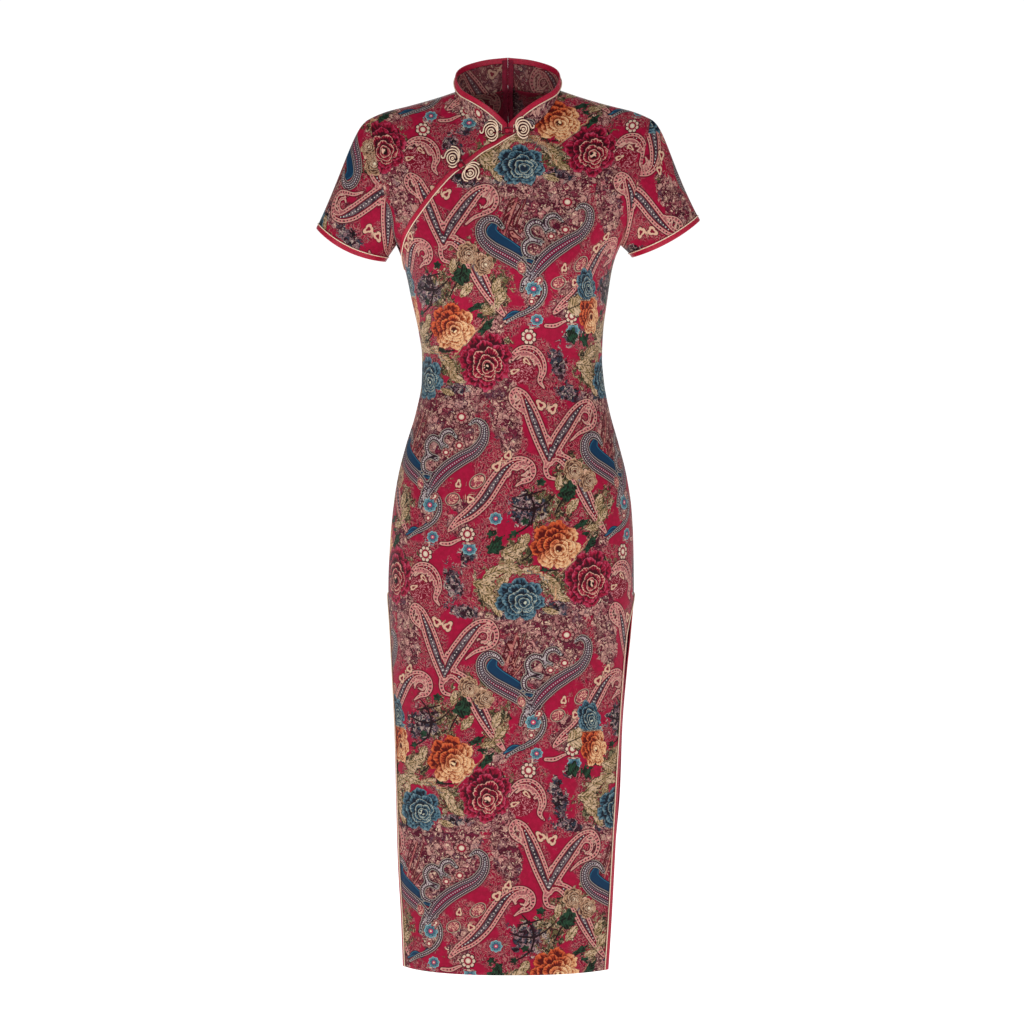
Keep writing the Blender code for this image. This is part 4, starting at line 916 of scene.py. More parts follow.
# A binding's section from the piping to its fold: the share of its width, and of its thickness there
BIND_SECTION = (
    (0.0, 0.86), (0.05, 0.97), (0.15, 1.0), (0.5, 1.03), (0.75, 1.0), (0.88, 0.9), (0.96, 0.66), (1.0, 0.3),
)
PIPING_PROUD = 0.75  # how far the piping's middle stands out of the binding's face, in its own radius
SLIT_BIND_DROP, SLIT_BIND_ROWS = 5.0, 132  # how far below the slit's top its bindings begin
CORNER_ROWS = 9  # up the collar's centre front
CORNER_SLANT = 4.6  # degrees by which the binding's joint runs behind its finished edge at the collar's corner
# How far a sleeve's curve keeps the armhole's and the hem's direction, in its own length, and how much more of it
# on the outside of the arm
CAP_LEAVES, HEM_LEAVES = (0.135, 0.165), (0.545, -0.2)
CAP_MIDDLE, CAP_SPREAD = 0.47, 0.13  # where the gathers lie, in turns of the armhole
GATHER_SHORT, GATHER_MORE = 9.0, 7.0  # how far the shortest gather falls, and how much further the longest
GATHER_ONSET = 3.0  # within this distance of the seam they come up
# Their waves: how many round the armhole, the first one's start in radians, and how strong they are
GATHER_WAVES = ((17, 0.8, 1.0), (27, 2.1, 0.55))


@dataclass
class Trim:
    """The satin bindings and the cream piping that lies where each meets the cloth."""

    form: BodyForm
    satin: bpy.types.Material
    cream: bpy.types.Material
    bindings: dict[str, bpy.types.Object] = field(default_factory=dict)
    pipings: dict[str, bpy.types.Object] = field(default_factory=dict)
    grids: dict[str, Grid] = field(default_factory=dict)

    def strip(self, name: str, inner: np.ndarray, edge: np.ndarray, normals: np.ndarray, closed: bool) -> None:
        """A folded strip from the cloth's edge to the finished edge, rounded at the finished edge.

        Args:
            name: the node that it replaces.
            inner: points on the outer face where the strip meets the piping.
            edge: points on the finished edge.
            normals: outward directions.
            closed: whether the strip is a ring.
        """
        share, thick = np.array(BIND_SECTION).T[:, None, :, None]
        base = inner[:, None] + (edge - inner)[:, None] * share
        out = normals[:, None]
        outer = base + out * (BIND_THICK * thick - CLOTH) / 2
        depth = (BIND_THICK * thick)[..., 0]
        flat = joined(run_of(inner)[:, None], share[..., 0] * BIND_WIDTH)
        grid = Grid(outer, np.broadcast_to(out, outer.shape), flat)
        if closed:
            outer, flat = outer.transpose(1, 0, 2), flat.transpose(1, 0, 2)
            grid = Grid(outer, np.broadcast_to(normals[None], outer.shape), flat, True)
            depth = np.broadcast_to(depth, outer.shape[1::-1]).T[:, :-1]
        self.grids[name] = grid
        self.bindings[name] = shell(name + "_satin", grid, depth[..., None], self.satin)

    def cord(self, name: str, points: np.ndarray, normals: np.ndarray, closed: bool) -> None:
        """The piping on the joint of cloth and binding."""
        lift = (BIND_THICK - CLOTH) / 2 + PIPING_RADIUS * PIPING_PROUD
        line = points + normals * lift
        self.pipings[name] = add_cord(name + "_cord", line, PIPING_RADIUS, self.cream, closed)

    def on_body(self, binding: str, piping: str, inner: np.ndarray, edge: np.ndarray) -> None:
        """Binding and piping along an edge of the front or of a back."""
        face = Face.BACK if "back" in binding else Face.FRONT
        normals = self.form.normals(face, inner)
        points = self.form.skin(face, inner)
        self.strip(binding, points, self.form.skin(face, edge), normals, False)
        self.cord(piping, points, normals, False)

    def build(self) -> None:
        """Makes the opening's, the slits' and the collar's trimmings."""
        form = self.form
        self.on_body("opening_binding", "opening_piping", form.opening_inner(BIND_WIDTH), form.opening_edge())
        heights = np.linspace(SLIT_TOP - SLIT_BIND_DROP, 0.0, SLIT_BIND_ROWS)
        for face in Face:
            for side, who in SIDES:
                inner = joined(form.slit_inner(face, side, heights, BIND_WIDTH), heights)
                edge = joined(side * form.wrap(face, np.array(side), heights), heights)
                name = f"{face.name.lower()}_{who}"
                self.on_body(f"slit_binding_{name}", f"slit_piping_{name}", inner, edge)
        for side, who in SIDES:
            self.collar(side, who)

    def collar(self, side: int, who: str) -> None:
        """The binding down the collar's centre front edge and round its top, and its piping."""
        form = self.form
        corner = corner_turn(BIND_WIDTH)
        turns = np.concatenate([np.linspace(corner + 1.5, 60, 30), np.linspace(62, 180 - NECK_EDGE_TURN, 60)])
        slant = np.clip((75 - turns) / 75, 0.0, 1.0) * CORNER_SLANT
        top = form.collar_inset(side, turns, BIND_WIDTH)
        corner_up = form.collar_inset(side, np.array([corner]), BIND_WIDTH)
        rises = np.linspace(0, 1, CORNER_ROWS)
        inner_turn = np.concatenate([np.full(CORNER_ROWS, corner), turns])
        inner_up = np.concatenate([corner_up * rises, top])
        edge_turn = np.concatenate([np.full(CORNER_ROWS, PARTING_TURN), turns - slant])
        edge_up = np.concatenate([rises, np.ones(len(turns))])
        normals = form.collar_normal(side, inner_turn, inner_up)
        inner = form.collar_point(side, inner_turn, inner_up)
        self.strip(f"collar_binding_{who}", inner, form.collar_point(side, edge_turn, edge_up), normals, False)
        self.cord(f"collar_piping_{who}", inner, normals, False)


@dataclass
class Collar(Sheets):
    """The two halves of the stand collar."""

    def build(self) -> None:
        """Makes both halves, from the centre front to the centre back."""
        for side, who in SIDES:
            start = corner_turn(CLOTH_EDGE)
            bend = np.linspace(0, 1, COLLAR_COLUMNS + 1) ** 1.15
            turns = start + (180 - NECK_EDGE_TURN - start) * bend
            limit = self.form.collar_inset(side, turns, CLOTH_EDGE)
            ups = np.linspace(0, 1, COLLAR_LEVELS + 1)[:, None] * limit[None]
            turn = np.broadcast_to(turns[None], ups.shape)
            points = self.form.collar_point(side, turn, ups)
            normals = self.form.collar_normal(side, turn, ups)
            along = run_of(points[0])
            rise = np.linalg.norm(points - points[:1], axis=-1)
            flat = joined(side * along, rise + NECK_HEIGHT)
            self.add(f"collar_{who}", Grid(points, normals, flat))


@dataclass
class Sleeve(Sheets):
    """One short set-in sleeve with its bound hem."""

    side: int
    who: str
    trim: Trim

    def armhole(self) -> tuple[np.ndarray, np.ndarray]:
        """Points of the whole armhole, and the directions that lead off the panels there."""
        front = self.form.armhole_line(Face.FRONT, self.side)
        back = self.form.armhole_line(Face.BACK, self.side)[::-1][1:]
        points = np.concatenate([self.form.skin(Face.FRONT, front), self.form.skin(Face.BACK, back)])
        normals = np.concatenate([self.form.normals(Face.FRONT, front), self.form.normals(Face.BACK, back)])
        ring = points[:-1]
        middle = ring.mean(axis=0)
        along = np.roll(ring, -1, axis=0) - np.roll(ring, 1, axis=0)
        away = unit(np.cross(along, normals[:-1]))
        away = np.where(np.sum(away * (middle - ring), axis=-1, keepdims=True) > 0, away, -away)
        for _ in range(2):
            away = unit(np.roll(away, 1, axis=0) + 2 * away + np.roll(away, -1, axis=0))
        return np.concatenate([ring, ring[:1]]), np.concatenate([away, away[:1]])

    def curves(self) -> np.ndarray:
        """Four control points for the curve from each armhole point down to the hem."""
        outer_x, outer_height, inner_x, inner_height, dip = SLEEVE_SIZES[self.side]
        points, away = self.armhole()
        outer, inner = np.array((outer_x, 0.0, outer_height)), np.array((inner_x, 0.0, inner_height))
        middle, reach = (outer + inner) / 2, (outer - inner) / 2
        up = unit(np.array((-reach[2], 0.0, reach[0])) * math.copysign(1, reach[0]))
        turn = np.arange(len(points)) / (len(points) - 1)
        angle = 2 * np.pi * turn[:, None]
        end = middle - reach * np.cos(angle) - np.array((0, 1.0, 0)) * SLEEVE_HALF_DEPTH * np.sin(angle)
        end = end - up * dip * np.sin(angle) ** 2
        span = np.linalg.norm(end - points, axis=-1, keepdims=True)
        low = (1 + np.cos(angle)) / 2
        leave = unit((1 - low) * away + low * unit(end - points))
        start = points + LAP_GAP * unit(away + leave)
        first = start + leave * span * (CAP_LEAVES[0] + CAP_LEAVES[1] * low)
        second = end + up * span * (HEM_LEAVES[0] + HEM_LEAVES[1] * low)
        return np.stack([start, first, second, end])

    def ring(self, curves: np.ndarray, from_hem: float, share: float) -> np.ndarray:
        """One ring of points, at a share of the way from the armhole to a line above the hem."""
        speed = 3 * np.linalg.norm(curves[3] - curves[2], axis=-1, keepdims=True)
        t = (1 - from_hem / speed) * share
        return (
            (1 - t) ** 3 * curves[0]
            + 3 * t * (1 - t) ** 2 * curves[1]
            + 3 * t * t * (1 - t) * curves[2]
            + t**3 * curves[3]
        )

    def build(self) -> None:
        """Makes the sleeve, its binding and its piping."""
        curves = self.curves()
        shares = (np.arange(SLEEVE_RINGS + 1) / SLEEVE_RINGS) ** 1.1
        points = np.stack([self.ring(curves, CLOTH_EDGE, share) for share in shares])
        outward = points - points[:, :-1].mean(axis=1, keepdims=True)
        normals = grid_normals(points, outward, closed=True)
        turn = np.arange(points.shape[1]) / (points.shape[1] - 1)
        points = points + normals * self.gathers(turn, points)[..., None]
        points[:, -1] = points[:, 0]
        normals = grid_normals(points, outward, closed=True)
        hem = run_of(points[-1])
        fall = run_of(points)
        flat = joined(self.side * (hem - hem[-1] / 4), fall[-1:] - fall)
        self.add(f"sleeve_{self.who}", Grid(points, normals, flat, True))
        joint, edge = self.ring(curves, BIND_WIDTH, 1.0), self.ring(curves, 0.0, 1.0)
        pair = np.stack([joint, edge])
        out = grid_normals(pair, pair - joint[:-1].mean(axis=0), closed=True)[0]
        self.trim.strip(f"sleeve_binding_{self.who}", joint, edge, out, True)
        self.trim.cord(f"sleeve_piping_{self.who}", joint[:-1], out[:-1], True)

    def gathers(self, turn: np.ndarray, points: np.ndarray) -> np.ndarray:
        """Small uneven ripples that spring from the seam over the top of the cap."""
        fall, angle = run_of(points), turn * 2 * np.pi
        top = np.exp(-(((turn - CAP_MIDDLE) / CAP_SPREAD) ** 2))
        waves = sum(strength * np.sin(angle * count + start) for count, start, strength in GATHER_WAVES)
        reach = GATHER_SHORT + GATHER_MORE * (0.5 + 0.5 * np.sin(angle * 9 + 1.0))
        grow = smoothstep(fall / GATHER_ONSET) * np.exp(-((fall / reach) ** 1.6))
        return top * waves * grow


# ---------------------------------------------------------------- the print

CHART = 1.38  # millimetres in one square of the motif chart
CHART_X, CHART_Y = 446.0, 648.0  # the chart's square at the chevron's inner tip
TILE_WIDTH, TILE_HEIGHT = 288.0, 592.0  # the repeat; a second copy of the set lies half a tile on, both ways
SET_REACH = 400  # no motif of a set lies further than this from the set's corner, in millimetres
SCROLL_BROAD = 1.12  # how much broader than charted the scrolls are
FAR = 9.0  # where a stamp is said to be, in its own half widths, when none is near
PATCH_EDGE = 1.35  # where a patch of filling has faded out, in its own half widths
BATCH = 4000  # places looked up at a time
# A crowded sheet: how much of it arabesques and thickets take, and how the thickets come and go across and up it
CROWD_CURLS, CROWD_THICKETS, CROWD_ACROSS, CROWD_UP = 0.7, 0.5, 17.0, 13.0

# Strokes: (x, y, half width in millimetres) along the middle of each, in chart squares, y down
SCROLLS = (
    # the chevron's left arm, which turns over into an open curl and a flick
    ((446, 668, 8), (438, 648, 9.5), (431, 630, 9.5), (425, 615, 8), (419, 604, 5.6), (413, 600.5, 4.2),
     (408.5, 606, 3.2), (410, 613, 2.8), (415, 618, 2.4), (421, 622, 1.5)),
    ((413.5, 609, 1.2), (417, 606, 2), (421.5, 608.5, 2.2), (421, 613.5, 1.9), (417, 613.5, 1)),
    # its right arm, with the larger curl
    ((446, 668, 8), (455, 650, 10), (464, 637, 10), (474, 624, 9), (483, 616, 6.6), (491, 614.5, 5),
     (497, 620, 3.8), (499, 628, 3.2), (495.5, 636, 2.8), (487, 640, 2.8), (478, 643, 2.4), (469, 650, 1.4)),
    ((477, 633, 1), (478, 626, 1.9), (484, 621.5, 2.4), (490.5, 624, 2.4), (491, 630.5, 2.2), (486, 634, 1.8),
     (482, 630.5, 1)),
    # the long scroll that sweeps down from its own curl
    ((452, 523, 3.2), (460, 515, 5.5), (472, 507, 8), (486, 493, 9.5), (498, 475, 9.5), (508, 462, 8),
     (517, 455.5, 5.8), (526, 454.5, 4.6), (533.5, 459.5, 3.8), (535, 467.5, 3.2), (530.5, 474, 2.8),
     (523, 476, 2.4), (517, 480, 1.4)),
    ((517, 468.5, 1), (519, 462.5, 2.1), (525, 461, 2.3), (529, 465, 2.1), (526, 470, 1.7), (522, 468.5, 1)),
    # its mirrored partner, behind the small flowers
    ((557, 473, 2.2), (549.5, 470.5, 2.8), (547, 462, 3.4), (551, 454.5, 4.2), (559, 451.5, 5.6), (568, 456, 7.6),
     (577, 468, 8.6), (586, 486, 9), (595, 503, 7.4), (604, 518, 4.6), (610, 526, 2.6)),
    # the pink comma over the dotted field
    ((407, 574, 1.6), (411, 566, 3.6), (419, 561, 5.4), (429, 562, 6.4), (437, 570, 6.2), (440, 582, 4.8),
     (437, 592, 3), (441, 598, 1.4)),
    ((414, 571, 1), (420, 566.5, 1.6), (428, 569, 1.6), (432, 577, 1.2)),
    # a small tail beside the rosettes
    ((443, 537, 2.4), (452, 537, 2.8), (461, 533, 1.9), (468, 531, 1)),
)
RIBBONS = (
    # the wing's left ribbon with its head
    ((505, 655, 2.8), (499, 647.5, 4.5), (491, 645.5, 5.8), (484, 652, 6.6), (484.5, 663, 7.4), (493, 673, 8.6),
     (506, 681, 9.2), (520, 689, 9), (533, 700, 6)),
    # its right ribbon, hooked at the top
    ((530, 708, 5), (541, 690, 9.4), (553, 678, 10), (568, 668, 9.6), (583, 659, 8.4), (591, 646, 7),
     (590, 634.5, 5.5), (583, 630, 3.8), (577, 634, 2)),
    # three arches among the filling between them
    ((537, 684, 2.4), (527, 680, 3.8), (526, 671, 4.2), (534, 666, 4.2), (541, 669, 3)),
    ((543, 667, 2.6), (532, 664, 3.8), (529, 655, 4.4), (536, 648, 4.6), (544, 651, 3.8), (547, 658, 2.4)),
    ((556, 657, 1.8), (547, 652, 3.4), (548, 644, 4.2), (556, 641, 4), (562, 646, 2.4)),
    # lobes round the medallion below
    ((523, 716, 2.6), (526, 706, 3.8), (535, 701, 3.8), (544, 707, 3.8), (546, 717, 3.4), (541, 728, 3.4),
     (531, 736, 3.2), (520, 741, 2.8), (509, 748, 1.6)),
)
TEALS = (
    ((497, 651, 5), (494, 658, 8), (500, 666, 9.5), (511, 673, 9), (522, 680, 7.5), (533, 687, 3.5)),
    ((506, 745, 2), (516, 739, 4.5), (524, 740, 4), (531, 733, 2)),
)
TWIGS = (
    ((533, 516, 1.2), (536, 502, 1.4), (531, 488, 1.1), (524, 480, 0.8)),
    ((520, 490, 0.8), (531, 488, 1), (545, 484, 0.8)),
    ((512, 498, 0.8), (524, 502, 1.2), (536, 502, 1.2), (548, 496, 0.9), (556, 489, 0.8)),
    ((533, 516, 1.2), (522, 524, 1), (512, 527, 0.8)),
    ((524, 553, 0.8), (532, 547, 1), (534, 538, 0.8)),
    ((536, 562, 1), (549, 563, 1.2), (560, 562, 0.9)),
    ((568, 487, 0.9), (561, 498, 1), (556, 508, 0.8)),
    ((400, 550, 0.8), (404, 562, 1.2), (409, 572, 0.8)),
)
BARS = (
    ((519, 626, 2.6), (505, 664, 2.6)),
    ((527, 627, 1.6), (512, 668, 1.6)),
    ((513, 626, 1.2), (500, 660, 1.2)),
    ((524, 656, 2), (518, 664, 2), (512, 673, 1.5)),
    ((512, 655, 1.6), (525, 668, 1.6)),
)

# Stamps: (kind, x, y, half width, half height, turn in degrees), in chart squares
# kinds: 1 peony, 2 rose, 3 blue peony, 4 tuft
FLOWERS = (
    (1, 592, 572, 26, 29, -15), (3, 522, 591, 24.5, 21.5, 5), (2, 557, 538, 25.5, 24, 0), (4, 575, 464, 10.5, 11, 0),
    (4, 591, 476, 10.5, 9.5, 60),
)
SIDE_FLOWERS = ((3, 593, 283, 13, 19, 20), (2, 598, 312, 15, 21, 10))
SIDE_LEAVES = ((2, 578, 303, 9, 12, 20), (1, 575, 333, 7, 9, 0), (2, 586, 297, 8, 10, 60), (1, 590, 338, 5, 8, 30))
# kinds: 1 turquoise, 2 cream, 3 dusky pink
ROSETTES = (
    (1, 498, 511.5, 6.6, 6.2, 0), (1, 434, 531, 6.4, 6, 10), (1, 535, 714, 8, 7.4, 0), (2, 470, 527, 8.4, 8.4, 0),
    (2, 426, 548, 8.2, 8.8, 20), (1, 472, 542, 7.6, 5.8, 0), (3, 533, 727, 5, 5, 0), (3, 541, 705, 4.4, 4.4, 0),
    (3, 552, 662, 6, 5, 0), (3, 566, 655, 7, 6, 0), (3, 568, 627, 9, 8, 0),
)
# kinds: 1 dark leaf, 2 olive leaf, 3 pine cone bud, 4 cream sprig
LEAVES = (
    (1, 568, 488, 10.5, 7.5, -20), (1, 572, 483, 7, 9, 20), (1, 542.5, 476, 5.2, 4.2, 10),
    (1, 497, 541, 9.5, 6.5, 10), (1, 500, 534, 5, 7, -30), (1, 527, 514, 4.5, 3.8, 30), (1, 516, 526, 4, 3.6, 0),
    (1, 493, 526, 4.4, 3.4, 40), (1, 593, 538, 12, 4.4, 48), (1, 583, 518, 10, 3.6, 28), (1, 588, 527, 5, 3, -10),
    (1, 545, 561, 6, 2.6, -20), (2, 520, 541, 8, 6, 20), (2, 511, 548, 9, 6, -30), (2, 527, 532, 7, 5, 60),
    (2, 534, 562, 11, 4.4, 12), (2, 514, 561, 11, 5, -18), (2, 497, 564, 12, 6, 24), (2, 487, 577, 12, 6.5, -8),
    (2, 491, 590, 11, 6, -40), (2, 499, 600, 10, 5, -62), (2, 551, 573, 11, 5.5, -28), (2, 557, 583, 10, 5, -55),
    (2, 564, 590, 9, 4, -20), (2, 507, 572, 8, 4, 70), (2, 552, 603, 9, 3.6, -15), (2, 574, 500, 10, 5, 50),
    (2, 603, 497, 9, 5, 70), (2, 607, 510, 9, 5, 50), (2, 595, 522, 8, 4, 10), (2, 560, 476, 8, 4, 80),
    (3, 480, 475, 9.5, 6.2, 40), (3, 455, 493, 8, 6.2, 25), (3, 419, 479, 6.5, 4.6, 100),
    (4, 499, 460.5, 6.4, 5.2, 50), (4, 438, 615, 7, 5, 130), (4, 450, 619, 7, 5, 50), (4, 406, 664, 5.6, 4.6, 70),
    (4, 485, 684, 6.4, 5.2, 110), (4, 461, 478, 5.2, 3.6, 80), (4, 473, 493, 5, 4.6, 0), (4, 424, 572, 6, 2.6, -45),
    (4, 412, 582, 6, 3, 20),
)
# Fine filling: (kind, x, y, half width, half height, turn); kinds: 0 arabesque, 1 leafy, 2 dark, 3 dotted field
PATCHES = (
    (0, 545, 640, 46, 26, 0), (0, 556, 617, 36, 18, 0), (0, 512, 612, 20, 14, 0), (0, 535, 668, 26, 12, -20),
    (0, 486, 612, 12, 10, 0), (0, 535, 718, 11, 18, 0), (0, 401, 615, 14, 40, 0), (0, 408, 640, 12, 24, 0),
    (0, 460, 520, 14, 10, -30), (0, 464, 500, 12, 8, -30), (0, 585, 600, 22, 10, 0), (0, 498, 745, 12, 14, 0),
    (1, 519, 545, 16, 14, 0), (1, 493, 582, 19, 21, 20), (1, 557, 578, 18, 16, 0), (1, 545, 500, 26, 20, 10),
    (1, 575, 472, 24, 18, 30), (1, 603, 505, 14, 26, -20), (1, 403, 566, 10, 16, 0), (2, 527, 503, 19, 17, 0),
    (2, 456, 575, 9, 22, 10), (2, 466, 604, 18, 8, -18), (2, 470, 548, 12, 8, 30), (2, 505, 606, 10, 6, 20),
    (2, 560, 600, 16, 7, 0), (3, 419, 580, 14, 15, 0),
)


def eased(table: np.ndarray, steps_in: Callable[[float], int]) -> np.ndarray:
    """A smooth curve through a table's rows, whose first two columns are places on the flat.

    Args:
        table: the rows, of any number of columns.
        steps_in: how many steps a length is divided into.

    Returns:
        Rows at even steps.
    """
    reach = run_of(table[:, :2])
    wanted = np.linspace(0, reach[-1], steps_in(reach[-1]) + 1)
    return curve_at(reach, table, np.gradient(table, reach, axis=0), wanted)


def stroke_segments(strokes: tuple, spacing: float = 2.5, broad: float = 1.0) -> np.ndarray:
    """The charted strokes as short segments of a smooth curve through their rows.

    Args:
        strokes: rows of chart square and half width for each stroke.
        spacing: length of a segment, in millimetres.
        broad: how much broader than charted every stroke is.

    Returns:
        Rows of start x, y, end x, y, half width at each end and distance along the stroke.
    """
    rows = []
    for stroke in strokes:
        table = np.array(stroke, float)
        table[:, 0] = (table[:, 0] - CHART_X) * CHART
        table[:, 1] = (CHART_Y - table[:, 1]) * CHART
        table[:, 2] *= broad
        line = eased(table, lambda length: max(int(length / spacing), 3))
        along = run_of(line[:, :2])
        rows.append(np.column_stack([line[:-1, :2], line[1:, :2], line[:-1, 2], line[1:, 2], along[:-1]]))
    return np.concatenate(rows)


@dataclass
class Print:
    """Lays the repeat over a sheet and writes, for each vertex, where it lies in the motifs near it."""

    reach: float = 26.0  # how far from a motif its own places are written, in millimetres

    def __post_init__(self) -> None:
        """Turns the charts into segments and stamps in millimetres."""
        self.lines = {
            "scroll": stroke_segments(SCROLLS, broad=SCROLL_BROAD),
            "ribbon": stroke_segments(RIBBONS),
            "teal": stroke_segments(TEALS),
            "twig": stroke_segments(TWIGS),
            "bar": stroke_segments(BARS),
        }
        self.stamps = {
            "flower": self.placed(FLOWERS),
            "rosette": self.placed(ROSETTES),
            "leaf": self.placed(LEAVES),
        }
        self.side_stamps = {"flower": self.placed(SIDE_FLOWERS), "leaf": self.placed(SIDE_LEAVES)}
        self.patches = self.placed(PATCHES)

    def placed(self, rows: tuple) -> np.ndarray:
        """Stamps in millimetres from the tile's corner."""
        table = np.array(rows, float)
        table[:, 1] = (table[:, 1] - CHART_X) * CHART
        table[:, 2] = (CHART_Y - table[:, 2]) * CHART
        table[:, 3:5] *= CHART
        table[:, 5] = np.radians(table[:, 5])
        return table

    def copies(self, low: np.ndarray, high: np.ndarray) -> list[tuple[float, float, bool]]:
        """Every place in a region where the set of motifs starts, and whether it is the tile's first copy."""
        half_wide, half_tall = half = TILE_WIDTH / 2, TILE_HEIGHT / 2
        across, up = (
            range(int((start - SET_REACH) // step), int((end + SET_REACH) // step) + 1)
            for start, end, step in zip(low, high, half)
        )
        return [(i * half_wide, j * half_tall, j % 2 == 0) for i in across for j in up if (i + j) % 2 == 0]

    def nearest_stroke(self, flat: np.ndarray, segments: np.ndarray) -> np.ndarray:
        """For each place: how far to the left of the nearest stroke's middle it is, how far along, the stroke's half
        width, and how far inside its edge."""
        best = np.zeros((len(flat), 4))
        best[:, 0], best[:, 3] = self.reach, -self.reach
        for x, y, _ in self.copies(flat.min(axis=0), flat.max(axis=0)):
            seg = segments + np.array([x, y, x, y, 0, 0, 0])
            low = np.minimum(seg[:, :2], seg[:, 2:4]).min(axis=0) - self.reach
            high = np.maximum(seg[:, :2], seg[:, 2:4]).max(axis=0) + self.reach
            near = np.where(((flat > low) & (flat < high)).all(axis=1))[0]
            for part in np.array_split(near, max(len(near) // BATCH, 1)):
                if not len(part):
                    continue
                p = flat[part]
                way = seg[:, 2:4] - seg[:, :2]
                length = np.hypot(*way.T)
                t = ((p[:, None] - seg[None, :, :2]) * way).sum(axis=-1) / length**2
                t = np.clip(t, 0.0, 1.0)
                foot = seg[None, :, :2] + t[..., None] * way
                inside = seg[:, 4] + t * (seg[:, 5] - seg[:, 4]) - np.linalg.norm(p[:, None] - foot, axis=-1)
                k = inside.argmax(axis=1)
                row = np.arange(len(part))
                better = inside[row, k] > best[part, 3]
                width = seg[k, 4] + t[row, k] * (seg[k, 5] - seg[k, 4])
                off, toward = p - foot[row, k], way[k]
                left = np.where(toward[:, 0] * off[:, 1] - toward[:, 1] * off[:, 0] < 0, -1.0, 1.0)
                away = left * (width - inside[row, k])
                found = joined(away, seg[k, 6] + t[row, k] * length[k], width, inside[row, k])
                best[part[better]] = found[better]
        return best

    def local(self, flat: np.ndarray, stamp: np.ndarray, x: float, y: float) -> np.ndarray:
        """Places in a stamp's own axes, where its edge is at 1."""
        away = flat - (stamp[1] + x, stamp[2] + y)
        c, s = math.cos(stamp[5]), math.sin(stamp[5])
        return away @ np.array(((c, -s), (s, c))) / stamp[3:5]

    def nearest_stamp(self, flat: np.ndarray, name: str) -> np.ndarray:
        """For each place: its place in the nearest stamp's own axes, the stamp's kind and how near it is."""
        best = np.full((len(flat), 4), FAR)
        closeness = np.full(len(flat), FAR)
        for x, y, first in self.copies(flat.min(axis=0), flat.max(axis=0)):
            rows = list(self.stamps[name])
            if first and name in self.side_stamps:
                rows += list(self.side_stamps[name])
            for stamp in rows:
                far = max(stamp[3], stamp[4]) * 2 + 6
                near = np.where((np.abs(flat - (stamp[1] + x, stamp[2] + y)) < far).all(axis=1))[0]
                if not len(near):
                    continue
                own = self.local(flat[near], stamp, x, y)
                out = np.hypot(own[:, 0], own[:, 1])
                better = out < closeness[near]
                closeness[near[better]] = out[better]
                best[near[better], :2] = own[better]
                best[near[better], 2] = stamp[0]
        best[:, 3] = closeness
        return best

    def filling(self, flat: np.ndarray) -> np.ndarray:
        """How much of each kind of fine filling lies at each place."""
        total = np.zeros((len(flat), 4))
        for x, y, _ in self.copies(flat.min(axis=0), flat.max(axis=0)):
            for stamp in self.patches:
                own = self.local(flat, stamp, x, y)
                fade = np.clip(PATCH_EDGE - np.hypot(own[:, 0], own[:, 1]), 0.0, 1.0)
                kind = int(stamp[0])
                total[:, kind] = np.maximum(total[:, kind], fade)
        return total

    def dress(
        self, piece: bpy.types.Object, flat: np.ndarray, shift: tuple[float, float], turned: bool, dense: bool
    ) -> None:
        """Writes every layer on a two-walled piece.

        Args:
            piece: the piece, whose second half of vertices is the inside.
            flat: the outside's places on the flat cloth.
            shift: where on the printed cloth the piece is cut.
            turned: whether it is cut with the print upside down.
            dense: whether the filling covers all of the ground.
        """
        places = flat.reshape(-1, 2) * (-1 if turned else 1) + np.array(shift)
        mesh = piece.data
        layers = {name: self.nearest_stroke(places, segments) for name, segments in self.lines.items()}
        layers.update({name: self.nearest_stamp(places, name) for name in self.stamps})
        for name, values in layers.items():
            write_layer(mesh, name, np.tile(values[:, :3], (2, 1)))
            write_layer(mesh, name + "_near", np.tile(values[:, 3], 2))
        filling = np.tile(self.filling(places), (2, 1))
        if dense:
            drift = np.tile(np.sin(places[:, 0] / CROWD_ACROSS) * np.sin(places[:, 1] / CROWD_UP + 1.0), 2)
            filling[:, 0] = np.maximum(filling[:, 0], CROWD_CURLS)
            filling[:, 2] = np.maximum(filling[:, 2], CROWD_THICKETS * drift)
        write_layer(mesh, "filling", filling[:, :3])
        write_layer(mesh, "dotted", filling[:, 3])


# ---------------------------------------------------------------- the printed satin

Value = Union["Field", float, str, tuple]

STAMP_REACH = 1.37  # how far out from its middle a stamp is drawn, in its own half widths
DEEPEN = 1.18  # how much deeper the colours come out on satin than on paper
# Sizes of the print's patterns, in millimetres
CELL, CURL = 8.6, 2.7  # a spiral's cell, and from one turn of it to the next
FINE_CELL, FINE_CURL = 3.1, 1.6
GRAIN = 6.25  # patches where the dye took more or less
TENDRIL, GROWTH = 17.0, 46.0  # from one thin line to the next, and from one patch of them to the next
DRIFT = 14.0  # how far the small curls are pushed about
# A float of satin is about 0.1 mm wide; at that size it would not show, so it is drawn four times as coarse
FLOAT_PITCH = 0.42
SLUBS = 0.22  # slubs to each float
CURL_TONES = (
    (0.0, "#9E6C6C"), (0.2, "#862E4A"), (0.38, "#B88C82"), (0.56, "#765864"), (0.7, "#AC5664"), (0.84, "#5E1230"),
)
LEAFY_TONES = (
    (0.0, "#3A3626"), (0.14, "#C2A080"), (0.34, "#867A54"), (0.5, "#DCC0A4"), (0.64, "#A84A50"), (0.78, "#A29A78"),
    (0.9, "#55583C"),
)
THICKET_TONES = (
    (0.0, "#20151D"), (0.22, "#7E6A72"), (0.4, "#4E2436"), (0.56, "#B08C90"), (0.72, "#43505E"), (0.88, "#CDB8AE"),
)

